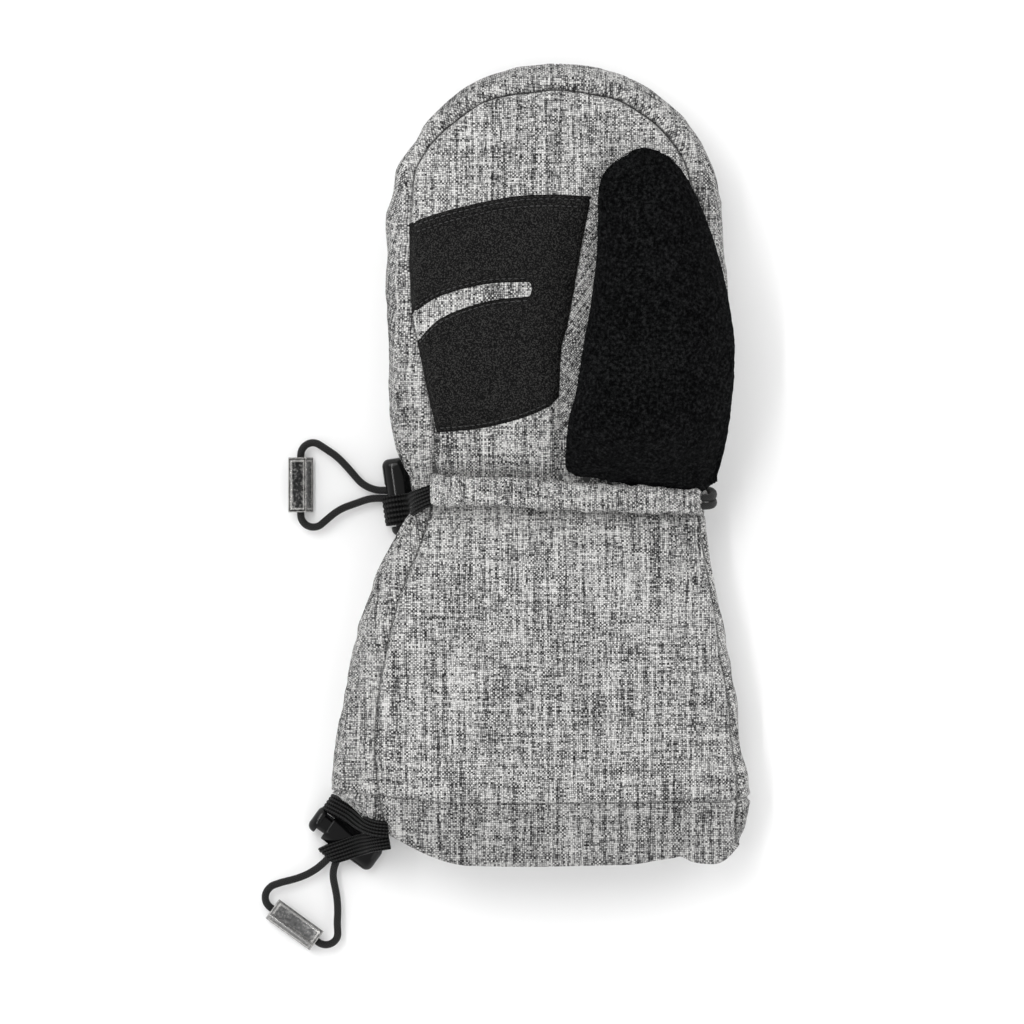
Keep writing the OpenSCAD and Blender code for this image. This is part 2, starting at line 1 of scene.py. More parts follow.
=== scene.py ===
"""Looks of the ski mitten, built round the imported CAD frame."""
import math
from functools import partialmethod

import bmesh
import bpy
import numpy as np
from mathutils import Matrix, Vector
from mathutils.bvhtree import BVHTree


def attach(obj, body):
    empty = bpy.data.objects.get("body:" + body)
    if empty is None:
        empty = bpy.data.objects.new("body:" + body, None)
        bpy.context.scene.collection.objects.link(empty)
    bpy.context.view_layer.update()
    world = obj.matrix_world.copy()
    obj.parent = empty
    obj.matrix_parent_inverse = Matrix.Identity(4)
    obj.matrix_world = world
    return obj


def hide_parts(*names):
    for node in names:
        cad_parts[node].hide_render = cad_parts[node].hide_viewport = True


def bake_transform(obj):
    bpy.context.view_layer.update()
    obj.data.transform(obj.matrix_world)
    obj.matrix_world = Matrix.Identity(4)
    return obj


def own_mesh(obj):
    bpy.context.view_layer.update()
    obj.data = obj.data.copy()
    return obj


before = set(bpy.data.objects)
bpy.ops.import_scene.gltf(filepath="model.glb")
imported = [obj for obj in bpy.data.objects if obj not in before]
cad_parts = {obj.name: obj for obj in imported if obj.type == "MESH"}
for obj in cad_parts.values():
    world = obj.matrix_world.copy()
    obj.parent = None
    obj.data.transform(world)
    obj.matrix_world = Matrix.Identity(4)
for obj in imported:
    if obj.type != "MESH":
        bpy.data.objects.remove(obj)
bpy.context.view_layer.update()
MM = 0.001
TAU = 2 * math.pi

# ---------------------------------------------------------------- curves

def smooth(t):
    t = np.clip(t, 0, 1)
    return t * t * (3 - 2 * t)


def mix(a, b, t):
    return a + (b - a) * t


def spow(c, p):
    return np.sign(c) * np.abs(c) ** p


def bell(d, width):
    return np.exp(-(d / width) ** 2)


def circle_angles(n, start=0.0):
    return start + np.arange(n) * TAU / n


def over_grid(rows, cols):
    """Two lists of numbers spread over the grid of their rows and columns."""
    return np.meshgrid(rows, cols, indexing="ij")


def unit(v):
    return v / np.linalg.norm(v, axis=1, keepdims=True)


def run_along(path):
    """Distance along a path at each of its points."""
    return np.concatenate([[0], np.cumsum(np.linalg.norm(np.diff(path, axis=0), axis=1))])


def table(rows, x):
    """Smooth curve through the rows of a table, read at x of its first column: one array per other column."""
    rows = np.asarray(rows, float)
    t, v = rows[:, 0], rows[:, 1:]
    x = np.clip(np.asarray(x, float), t[0], t[-1])
    i = np.clip(np.searchsorted(t, x, side="right") - 1, 0, len(t) - 2)
    n = len(t)
    after, before = np.minimum(np.arange(n) + 1, n - 1), np.maximum(np.arange(n) - 1, 0)
    slope = (v[after] - v[before]) / (t[after] - t[before])[:, None]
    d = t[i + 1] - t[i]
    s = ((x - t[i]) / d)[..., None]
    d = d[..., None]
    out = (v[i] * (2 * s**3 - 3 * s**2 + 1) + v[i + 1] * (3 * s**2 - 2 * s**3)
           + slope[i] * d * (s**3 - 2 * s**2 + s) + slope[i + 1] * d * (s**3 - s**2))
    return [out[..., k] for k in range(v.shape[1])]


def polyline(points, step=1.0):
    """Evenly spaced points along the smooth curve through the given points."""
    p = np.asarray(points, float)
    run = run_along(p)
    fine = np.stack(table(np.column_stack([run, p]), np.linspace(0, run[-1], 12 * len(p))), -1)
    run = run_along(fine)
    n = max(2, int(run[-1] / step) + 1)
    return np.stack([np.interp(np.linspace(0, run[-1], n), run, fine[:, k]) for k in range(p.shape[1])], -1)


def distance(x, y, line):
    """Signed distance of the points to a polyline, positive to its right; a block of points at a time."""
    p = np.stack([x.ravel(), y.ravel()], -1)
    a, b = line[:-1], line[1:]
    ab = b - a
    out, block = np.empty(len(p)), 20000
    for s in range(0, len(p), block):
        q = p[s:s + block, None, :] - a[None]
        t = np.clip((q * ab).sum(-1) / (ab**2).sum(-1), 0, 1)
        r = q - t[..., None] * ab
        d = np.hypot(r[..., 0], r[..., 1])
        k = d.argmin(1)
        pick = (np.arange(len(k)), k)
        cross = ab[k, 1] * r[pick][:, 0] - ab[k, 0] * r[pick][:, 1]
        out[s:s + block] = np.where(cross >= 0, 1, -1) * d[pick]
    return out.reshape(x.shape)


def resample(grid, rows, cols):
    """Reads a periodic grid of vectors at fractional rows and columns, with smooth weights."""
    def weights(t, n, wrap):
        i = np.floor(t).astype(int)
        f = t - i
        w = [-f + 2 * f**2 - f**3, 2 - 5 * f**2 + 3 * f**3, f + 4 * f**2 - 3 * f**3, f**3 - f**2]
        w = np.stack(w, -1) / 2
        k = i[:, None] + np.arange(-1, 3)
        k = k % n if wrap else np.clip(k, 0, n - 1)
        m = np.zeros((len(t), n))
        np.add.at(m, (np.arange(len(t))[:, None], k), w)
        return m
    wr = weights(np.asarray(rows, float), grid.shape[0], False)
    wc = weights(np.asarray(cols, float), grid.shape[1], True)
    return np.einsum("ri,ijk,cj->rck", wr, grid, wc)


def value_noise(shape, cells, seed):
    """Smooth periodic-in-columns noise between -1 and 1 over a grid."""
    r = np.random.default_rng(seed).uniform(-1, 1, (cells[0] + 1, cells[1], 1))
    return resample(r, np.linspace(0, cells[0], shape[0]), np.arange(shape[1]) * cells[1] / shape[1])[..., 0]


# ---------------------------------------------------------------- the mitten's body, in millimetres

HEIGHT = 44.0
# where the fingertips start to close and their length, how far down the cuff and its hem's stitches are
TIP, TIP_LEN, CUFF, HEM = 85.0, 59.5, 124.5, 103.0
# y, left edge, right edge, underside, top
BODY = [
    (-124.5, -65.0, 60.5, 1.5, 33.5), (-112, -74.2, 63.2, -2.0, 37), (-98, -76.4, 63.2, -2.5, 38.6),
    (-82, -75.6, 61.2, -2.5, 39.4), (-64, -72.9, 59.2, -2.5, 39.6), (-46, -68.8, 56.2, -2.2, 38.8),
    (-30, -63.6, 52.8, -1.2, 37), (-18, -57.8, 50.4, 1.5, 34.5), (-6, -50.6, 49.4, 8, 32),
    (6, -50.8, 51.0, 8, 32), (16, -55.2, 54.0, 3, 36), (28, -57.4, 56.4, -1, 40.5),
    (50, -58.3, 57.4, -2.5, 44), (70, -58.7, 57.2, -2.5, 44), (85, -58.3, 55.7, -2.5, 43.2),
]
POWER = 2.4
SECTION = 2 / POWER


def dip(x, y):
    """The hollow of the palm."""
    return 9 * smooth(1.35 * (1 - np.hypot((x - 30.7) / 41.8, (y - 56) / 70)))


def rim_lift(x, y):
    """How far up the cuff's open end curves, by the outline's x."""
    lift = 18 * smooth((-x - 31.3) / 52) + 6 * smooth((x - 53) / 10) ** 1.5
    for at, high, width in ((38, 1.9, 9), (42.5, 1.3, 3), (-12, -0.5, 20)):
        lift = lift + high * bell(x - at, width)
    return lift * smooth((-y - 94.6) / 29.9)


def curl(x, y):
    """The cuff's left corner lifts off the ground."""
    return 7 * smooth((-x - 40) / 11.8) * smooth((-y - 86) / 10)


def body(y, a, inset=0.0):
    """A point of the mitten's surface, inset from the outside, at y and the angle a round the section."""
    l, r, b, t = table(BODY, y)
    share = np.clip((y - TIP) / (TIP_LEN - inset), 0, 1)
    tip = (1 - share**2.2) ** (1 / 2.2)
    c = tip * spow(np.cos(a), SECTION)
    edge = (l + r) / 2 + (r - l) / 2 * c
    x = edge - inset * c
    zc = mix((b + t) / 2, 0.38 * HEIGHT, share**2)
    z = zc + ((t - b) / 2 - inset) * tip * spow(np.sin(a), SECTION)
    low = inset + curl(x, y)
    z = (z + low + np.sqrt((z - low) ** 2 + 3)) / 2 - 0.25
    s = np.sin(a)
    z = z - np.where(s > 0, dip(x, y) * np.sqrt(np.maximum(s, 0)), 0)
    return np.stack([x, y + rim_lift(edge, y), z], -1)


def normals(p, wrap=True):
    """Outward unit normals of a grid of points."""
    if wrap:
        du = np.roll(p, -1, 1) - np.roll(p, 1, 1)
    else:
        du = np.gradient(p, axis=1)
    dv = np.gradient(p, axis=0)
    n = np.cross(dv, du)
    return n / np.maximum(np.linalg.norm(n, axis=-1, keepdims=True), 1e-9)


# ---------------------------------------------------------------- mesh helpers

def add_mesh(name, verts, faces, attrs=None):
    """A new object from points in millimetres. attrs are per point: (n,) or (n, 3) arrays."""
    me = bpy.data.meshes.new(name)
    me.from_pydata((np.asarray(verts) * MM).tolist(), [], [list(map(int, f)) for f in faces])
    for key, data in (attrs or {}).items():
        data = np.asarray(data, np.float32)
        kind = "FLOAT" if data.ndim == 1 else "FLOAT_VECTOR"
        at = me.attributes.new(key, kind, "POINT")
        at.data.foreach_set("value" if data.ndim == 1 else "vector", data.ravel())
    me.polygons.foreach_set("use_smooth", [True] * len(me.polygons))
    me.update()
    ob = bpy.data.objects.new(name, me)
    bpy.context.scene.collection.objects.link(ob)
    return ob


def grid_faces(rows, cols, wrap=False, start=0, flip=False):
    i, j = np.meshgrid(np.arange(rows - 1), np.arange(cols if wrap else cols - 1), indexing="ij")
    k = (j + 1) % cols
    f = np.stack([i * cols + j, (i + 1) * cols + j, (i + 1) * cols + k, i * cols + k], -1)
    f = f.reshape(-1, 4) + start
    return f[:, ::-1] if flip else f


def grid_mesh(name, p, wrap=False, attrs=None, thick=0.0, poles=False):
    """A surface from a grid of points. thick adds an inner side that far below, closed at the edges."""
    rows, cols = p.shape[:2]
    attrs = {k: np.asarray(v).reshape(rows * cols, *np.asarray(v).shape[2:]) for k, v in (attrs or {}).items()}
    verts = p.reshape(-1, 3)
    faces = [grid_faces(rows, cols, wrap)]
    if thick:
        inner = (p - thick * normals(p, wrap)).reshape(-1, 3)
        n = rows * cols
        verts = np.concatenate([verts, inner])
        attrs = {k: np.concatenate([v, v]) for k, v in attrs.items()}
        faces.append(grid_faces(rows, cols, wrap, n, True))
        for e in (0, rows - 1):
            j = np.arange(cols if wrap else cols - 1)
            k = (j + 1) % cols
            q = np.stack([e * cols + j, e * cols + k, n + e * cols + k, n + e * cols + j], -1)
            faces.append(q if e == 0 else q[:, ::-1])
        if not wrap:
            for e in (0, cols - 1):
                i = np.arange(rows - 1)
                q = np.stack([i * cols + e, (i + 1) * cols + e, n + (i + 1) * cols + e, n + i * cols + e], -1)
                faces.append(q[:, ::-1] if e == 0 else q)
    ob = add_mesh(name, verts, np.concatenate(faces), attrs)
    if poles:
        weld(ob)
    return ob


def weld(ob, gap=1e-6):
    """Merges the points that lie within gap (metres) of each other."""
    bm = bmesh.new()
    bm.from_mesh(ob.data)
    bmesh.ops.remove_doubles(bm, verts=bm.verts, dist=gap)
    bmesh.ops.dissolve_degenerate(bm, dist=gap, edges=bm.edges)
    bm.to_mesh(ob.data)
    bm.free()
    ob.data.polygons.foreach_set("use_smooth", [True] * len(ob.data.polygons))
    ob.data.update()


def outward(ob, sharp=None):
    """Turns the faces outwards. Edges that bend by more than sharp (radians) are shaded as corners."""
    bm = bmesh.new()
    bm.from_mesh(ob.data)
    bmesh.ops.recalc_face_normals(bm, faces=bm.faces)
    if sharp:
        for f in bm.faces:
            f.smooth = True
        for e in bm.edges:
            e.smooth = not (len(e.link_faces) == 2 and e.calc_face_angle(0) > sharp)
    bm.to_mesh(ob.data)
    bm.free()
    ob.data.update()
    return ob


def tube(name, p, u, v):
    """A closed tube from rows of points, its ends filled; u and v are its material's coordinates."""
    rows, cols = p.shape[:2]
    faces = [list(f) for f in grid_faces(rows, cols, True)]
    faces += [list(range(cols)), [(rows - 1) * cols + k for k in reversed(range(cols))]]
    uv = np.stack(np.broadcast_arrays(u, v, 0.0 * v), -1).reshape(-1, 3)
    return add_mesh(name, p.reshape(-1, 3), faces, {"uv_mm": uv})


def frames(path, side):
    """Unit width directions, square to the path, and the normals that go with them."""
    t = unit(np.gradient(path, axis=0))
    side = unit(side(t))
    return side, np.cross(side, t)


def sweep(name, path, section, up=(0, 0, 1)):
    """Sweeps a closed section (n, 2: along side, along normal) down a path, both in millimetres.
    section may also be (len(path), n, 2)."""
    path, section = np.asarray(path, float), np.asarray(section, float)
    side, nor = frames(path, lambda t: np.cross(t, np.asarray(up, float)))
    if section.ndim == 2:
        section = np.broadcast_to(section, (len(path),) + section.shape)
    p = path[:, None] + section[..., :1] * side[:, None] + section[..., 1:] * nor[:, None]
    step = np.linalg.norm(np.roll(section[0], -1, 0) - section[0], axis=1)
    around = np.concatenate([[0], np.cumsum(step)[:-1]])
    return tube(name, p, around[None, :], run_along(path)[:, None])


def circle(r, n=16):
    a = circle_angles(n)
    return np.stack([r * np.cos(a), r * np.sin(a)], -1)


def join(name, obs):
    """Joins objects into one that keeps the first one's data."""
    bpy.ops.object.select_all(action="DESELECT")
    for o in obs:
        o.select_set(True)
    bpy.context.view_layer.objects.active = obs[0]
    bpy.ops.object.join()
    obs[0].name = name
    return obs[0]


def put(ob, material, rides, slot, *replaces):
    """Dresses a piece. rides is its body, or None for a piece attached to no body."""
    ob.data.materials.clear()
    ob.data.materials.append(material)
    if rides:
        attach(ob, rides)
    if replaces:
        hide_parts(*replaces)
    return ob


def stitches(name, path, up, pitch, length, r):
    """A run of sewn stitches along a path that lies on a surface; up are the surface's normals there."""
    path, up = np.asarray(path, float), np.asarray(up, float)
    run = run_along(path)
    rows, sides, arch_high, sunk = 7, 6, 0.26, 0.14
    ts = np.linspace(0, 1, rows)
    arch = np.sin(np.pi * ts)
    verts, faces = [], []
    for s in np.arange(pitch / 2, run[-1] - pitch / 2, pitch):
        at = s + (ts - 0.5) * length
        c = np.stack([np.interp(at, run, path[:, k]) for k in range(3)], -1)
        n = np.array([np.interp(s, run, up[:, k]) for k in range(3)])
        n /= np.linalg.norm(n)
        t = c[-1] - c[0]
        side = np.cross(t / max(np.linalg.norm(t), 1e-9), n)
        base = len(verts)
        for k in range(rows):
            w = r * (0.55 + 0.45 * arch[k])
            mid = c[k] + n * (arch_high * arch[k] - sunk)
            verts += [mid + w * (math.cos(a) * side + math.sin(a) * n) for a in circle_angles(sides)]
        faces += [list(f) for f in grid_faces(rows, sides, True, base, True)]
        faces.append([base + j for j in reversed(range(sides))])
        faces.append([base + (rows - 1) * sides + j for j in range(sides)])
    return add_mesh(name, verts, faces)


# ---------------------------------------------------------------- materials

class Nodes:
    """Short-hand for building one node material."""

    def __init__(self, name):
        self.mat = bpy.data.materials.new(name)
        self.mat.use_nodes = True
        self.t = self.mat.node_tree
        self.t.nodes.clear()
        self.out = self.t.nodes.new("ShaderNodeOutputMaterial")
        self.bsdf = self.t.nodes.new("ShaderNodeBsdfPrincipled")
        self.t.links.new(self.bsdf.outputs[0], self.out.inputs["Surface"])

    def plug(self, socket, value):
        if isinstance(value, bpy.types.NodeSocket):
            self.t.links.new(value, socket)
        elif hasattr(socket.default_value, "__len__") and not hasattr(value, "__len__"):
            socket.default_value = [value] * len(socket.default_value)
        else:
            socket.default_value = value

    def node(self, kind, props=None, **inputs):
        n = self.t.nodes.new(kind)
        for k, v in (props or {}).items():
            setattr(n, k, v)
        for k, v in inputs.items():
            key = int(k[1:]) if k[0] == "i" and k[1:].isdigit() else k.replace("_", " ")
            self.plug(n.inputs[key], v)
        return n

    def math(self, op, a, b=0.0, c=0.0, clamp=False):
        n = self.node("ShaderNodeMath", {"operation": op, "use_clamp": clamp}, i0=a, i1=b, i2=c)
        return n.outputs[0]

    add, sub = partialmethod(math, "ADD"), partialmethod(math, "SUBTRACT")
    mul, mad = partialmethod(math, "MULTIPLY"), partialmethod(math, "MULTIPLY_ADD")
    div, power = partialmethod(math, "DIVIDE"), partialmethod(math, "POWER")
    size, sine = partialmethod(math, "ABSOLUTE"), partialmethod(math, "SINE")
    floor, above = partialmethod(math, "FLOOR"), partialmethod(math, "GREATER_THAN")
    max = partialmethod(math, "MAXIMUM")

    def here(self):
        return self.node("ShaderNodeTexCoord").outputs["Object"]

    def turn(self, v, angle):
        n = self.node("ShaderNodeVectorRotate", {"rotation_type": "Z_AXIS"}, Vector=v, Angle=angle)
        return n.outputs[0]

    def attr(self, name, out="Vector"):
        return self.node("ShaderNodeAttribute", {"attribute_name": name}).outputs[out]

    def xyz(self, v):
        n = self.node("ShaderNodeSeparateXYZ", None, i0=v)
        return n.outputs[0], n.outputs[1], n.outputs[2]

    def vec(self, x, y, z=0.0):
        return self.node("ShaderNodeCombineXYZ", None, i0=x, i1=y, i2=z).outputs[0]

    def noise(self, v, scale=1.0, detail=2.0, rough=0.5):
        n = self.node("ShaderNodeTexNoise", None, Vector=v, Scale=scale, Detail=detail, Roughness=rough)
        return n.outputs[0]

    def white(self, v):
        return self.node("ShaderNodeTexWhiteNoise", {"noise_dimensions": "3D"}, Vector=v).outputs[0]

    def mix(self, kind, f, a, b):
        """Mixes two numbers, vectors or colours: kind 0, 1 or 2."""
        n = self.node("ShaderNodeMix", {"data_type": ("FLOAT", "VECTOR", "RGBA")[kind]})
        for socket, value in ((0, f), (2 * kind + 2, a), (2 * kind + 3, b)):
            self.plug(n.inputs[socket], value)
        return n.outputs[kind]

    mixf, mixv, mixc = partialmethod(mix, 0), partialmethod(mix, 1), partialmethod(mix, 2)

    def ramp(self, f, stops):
        n = self.node("ShaderNodeValToRGB", None, i0=f)
        e = n.color_ramp.elements
        while len(e) < len(stops):
            e.new(0.5)
        for k, (pos, col) in enumerate(stops):
            e[k].position = pos
            e[k].color = (*([col] * 3 if not hasattr(col, "__len__") else col), 1)
        return n.outputs[0]

    def bump(self, height, distance, strength=1.0, normal=None):
        n = self.node("ShaderNodeBump", None, Height=height, Distance=distance, Strength=strength)
        if normal is not None:
            self.t.links.new(normal, n.inputs["Normal"])
        return n.outputs[0]

    def set(self, **inputs):
        for k, v in inputs.items():
            self.plug(self.bsdf.inputs[k.replace("_", " ")], v)
        return self.mat


WARP_PITCH, WEFT_PITCH = 0.63, 0.62


def weave(n, uv, seed=0.0):
    """Tone and height of a plain weave of slubby heather yarns; uv is in millimetres."""
    u, v, _ = n.xyz(uv)

    def field(cu, cv, k, detail=2, rough=0.5):
        at = n.vec(n.mul(u, cu), n.mul(v, cv), seed + k)
        return n.sub(n.noise(at, 1.0, detail, rough), 0.5)

    u2 = n.mad(field(0.06, 0.04, 30.0), 2.2, n.mad(field(0.5, 0.22, 50.0), 0.9, u))
    v2 = n.mad(field(0.04, 0.06, 40.0), 1.6, n.mad(field(0.3, 0.5, 60.0), 0.9, v))
    su, sv = n.div(u2, WARP_PITCH), n.div(v2, WEFT_PITCH)
    wi, fi = n.floor(su), n.floor(sv)
    odd = n.above(n.math("MODULO", n.size(n.add(wi, fi)), 2.0), 0.5)
    warp = n.noise(n.vec(n.mul(wi, 7.31), n.mul(v, 0.13), seed + 1.5), 1.0, 4, 0.75)
    weft = n.noise(n.vec(n.mul(u, 0.20), n.mul(fi, 5.77), seed + 8.5), 1.0, 4, 0.75)
    yarn = n.mixf(odd, warp, weft)
    cell = n.sub(n.white(n.vec(wi, fi, seed)), 0.5)
    fibre_a = n.noise(n.vec(n.mul(u, 4.5), n.mul(v, 0.9), seed + 2.0), 1.0, 2, 0.6)
    fibre_b = n.noise(n.vec(n.mul(u, 0.9), n.mul(v, 4.5), seed + 6.0), 1.0, 2, 0.6)
    fibre = n.sub(n.mixf(odd, fibre_a, fibre_b), 0.5)
    tone = n.mad(n.sub(yarn, 0.5), 2.3, n.mad(odd, -0.2, 0.67))
    for term, share in ((field(0.95, 0.022, 3.0, 3, 0.6), 1.35), (field(0.03, 0.9, 5.0, 3, 0.6), 0.8),
                        (cell, 0.45), (fibre, 0.9), (field(0.07, 0.03, 12.0), 0.3)):
        tone = n.mad(term, share, tone)
    hu = n.size(n.sine(n.mul(su, math.pi)))
    hv = n.size(n.sine(n.mul(sv, math.pi)))
    over = n.mul(hu, n.power(hv, 0.35))
    under = n.mul(hv, n.power(hu, 0.35))
    return tone, n.mixf(odd, over, under)


def fleece_material():
    n = Nodes("black_fleece")
    p = n.here()
    fine = n.noise(p, 1500.0, 3, 0.7)
    mid = n.noise(p, 520.0, 3, 0.6)
    big = n.noise(p, 60.0, 2, 0.5)
    h = n.mad(mid, 1.2, fine)
    curl = n.mul(n.sub(n.noise(p, 950.0, 3, 0.7), 0.5), 2.6)
    value = n.add(curl, n.mad(n.sub(mid, 0.5), 0.8, n.mad(big, 0.3, 0.33)))
    c = n.ramp(value, [(0.2, (0.0008, 0.0008, 0.0009)), (0.55, (0.005, 0.0052, 0.0054)),
                       (0.95, (0.0165, 0.0168, 0.0172))])
    return n.set(Base_Color=c, Roughness=0.95, Specular_IOR_Level=0.03, Sheen_Weight=0.07, Sheen_Roughness=0.4,
                 Sheen_Tint=(0.10, 0.105, 0.115, 1), Normal=n.bump(h, 0.0009, 1.0))


def grip_material():
    """Dark crackled coating with fine bright specks as painted glints, and painted shade along the sewn lines and
    the patch's edges.
    """
    n = Nodes("grip_coating")
    p = n.here()
    cells = n.node("ShaderNodeTexVoronoi", {"feature": "SMOOTH_F1"}, Vector=p, Scale=1500.0, Smoothness=0.4)
    cells = cells.outputs[0]
    wide = n.noise(p, 600.0, 3, 0.65)
    # bright specks: painted glints on the coating
    painted_glint = n.power(n.noise(p, 2300.0, 2, 0.6), 5.0)
    h = n.mad(wide, 0.9, n.sub(1.0, cells))
    value = n.mad(n.sub(0.55, cells), 0.8, n.mul(wide, 0.7))
    value = n.mad(painted_glint, 9.0, value)
    c = n.ramp(value, [(0.34, (0.0008, 0.0008, 0.0009)), (0.72, (0.0021, 0.0021, 0.0022)),
                       (1.0, (0.029, 0.0285, 0.0275))])
    # painted shade: darker along the stitch rows and at the patch's edges
    sewn = n.mul(n.attr("sewn", "Fac"), 0.8, clamp=True)
    c = n.mixc(sewn, c, (0.002, 0.002, 0.002, 1))
    return n.set(Base_Color=c, Roughness=n.mad(wide, 0.2, 0.5), Specular_IOR_Level=0.075,
                 Normal=n.bump(h, 0.00028, 0.9))


def cord_material():
    """Braided sleeve: two families of crossing strands."""
    n = Nodes("elastic_cord")
    u, v, _ = n.xyz(n.attr("uv_mm"))
    a = n.sine(n.mul(n.add(u, v), TAU / 0.98))
    b = n.sine(n.mul(n.sub(u, v), TAU / 0.98))
    h = n.max(a, b)
    # painted highlight on the strand crests and painted shade between them: the colour follows the strands'
    # height
    c = n.ramp(n.mad(h, 0.4, n.mul(n.noise(n.vec(u, v), 3.0, 2), 0.5)),
               [(0.1, 0.00525), (0.75, 0.0225)])
    return n.set(Base_Color=c, Roughness=0.6, Specular_IOR_Level=0.14, Sheen_Weight=0.05,
                 Normal=n.bump(h, 0.0001, 0.7))


def webbing_material():
    """Braided ribs: uv counts the ribs across and millimetres along."""
    n = Nodes("webbing")
    u, v, _ = n.xyz(n.attr("uv_mm"))
    rib = n.size(n.math("COSINE", n.mul(u, math.pi)))
    lean = n.mul(n.size(n.sine(n.mul(u, math.pi))), 3.0)
    braid = n.sine(n.mad(v, TAU / 1.05, lean))
    h = n.mad(braid, 0.3, rib)
    # painted highlight on the rib tops and painted shade between the ribs: the colour follows the ribs' height
    value = n.mad(h, 0.55, n.mul(n.noise(n.vec(u, v), 3.0, 3), 0.35))
    c = n.ramp(value, [(0.2, 0.0008), (0.55, 0.0045), (0.95, 0.03)])
    return n.set(Base_Color=c, Roughness=0.5, Specular_IOR_Level=0.1, Normal=n.bump(h, 0.0003, 0.9))


def plastic_material():
    n = Nodes("lock_plastic")
    p = n.here()
    smudge = n.noise(p, 160.0, 3, 0.6)
    fine = n.noise(p, 2600.0, 2, 0.5)
    return n.set(Base_Color=(0.003, 0.003, 0.0032, 1), Roughness=n.mad(smudge, 0.1, 0.05),
                 Specular_IOR_Level=0.24, Normal=n.bump(fine, 0.00002, 0.4))


def bead_material(name, low, high):
    """Gunmetal with the edges worn bright."""
    n = Nodes(name)
    p = n.here()
    true = n.node("ShaderNodeNewGeometry").outputs["True Normal"]
    rounded = n.node("ShaderNodeBevel", {"samples": 6}, Radius=0.0007).outputs[0]
    edge = n.node("ShaderNodeVectorMath", {"operation": "DOT_PRODUCT"}, i0=true, i1=rounded).outputs["Value"]
    grain = n.noise(p, 900.0, 4, 0.65)
    wear = n.mad(n.sub(1.0, edge), 12.0, n.mad(grain, 1.3, -0.72), clamp=True)
    c = n.mixc(wear, n.ramp(grain, [(0.3, low), (0.7, high)]), (0.62, 0.61, 0.59, 1))
    return n.set(Base_Color=c, Metallic=0.95, Roughness=n.mixf(wear, 0.42, 0.22),
                 Normal=n.bump(grain, 0.00005, 0.5, rounded))


def plain_fabric(name, dark, light, scale=900.0, rough=0.9, sheen=0.3):
    n = Nodes(name)
    p = n.here()
    a = n.noise(p, scale, 3, 0.6)
    b = n.noise(p, scale / 12, 2, 0.5)
    return n.set(Base_Color=n.ramp(n.mad(b, 0.4, n.mul(a, 0.6)), [(0.3, dark), (0.75, light)]),
                 Roughness=rough, Sheen_Weight=sheen, Normal=n.bump(a, 0.0004, 0.7))


def thread_material(name, tone):
    n = Nodes(name)
    p = n.here()
    a = n.noise(p, 3000.0, 2, 0.5)
    return n.set(Base_Color=n.ramp(a, [(0.3, tone * 0.6), (0.7, tone * 1.3)]), Roughness=0.55, Sheen_Weight=0.2,
                 Normal=n.bump(a, 0.00005, 0.6))


def steel_material():
    n = Nodes("spring_wire")
    p = n.here()
    return n.set(Base_Color=(0.6, 0.6, 0.62, 1), Metallic=1.0, Roughness=n.mad(n.noise(p, 2000.0), 0.2, 0.2))


# ---------------------------------------------------------------- shell cover, hand and cuff

# the cover's columns, the distance between its rows, the angles of its columns
COLS, ROW_STEP = 400, 0.95
A = circle_angles(COLS, -math.pi / 2)
# the hem fold's radius, and a distance that stands for no seam near
RIM, FAR = 2.3, 60.0


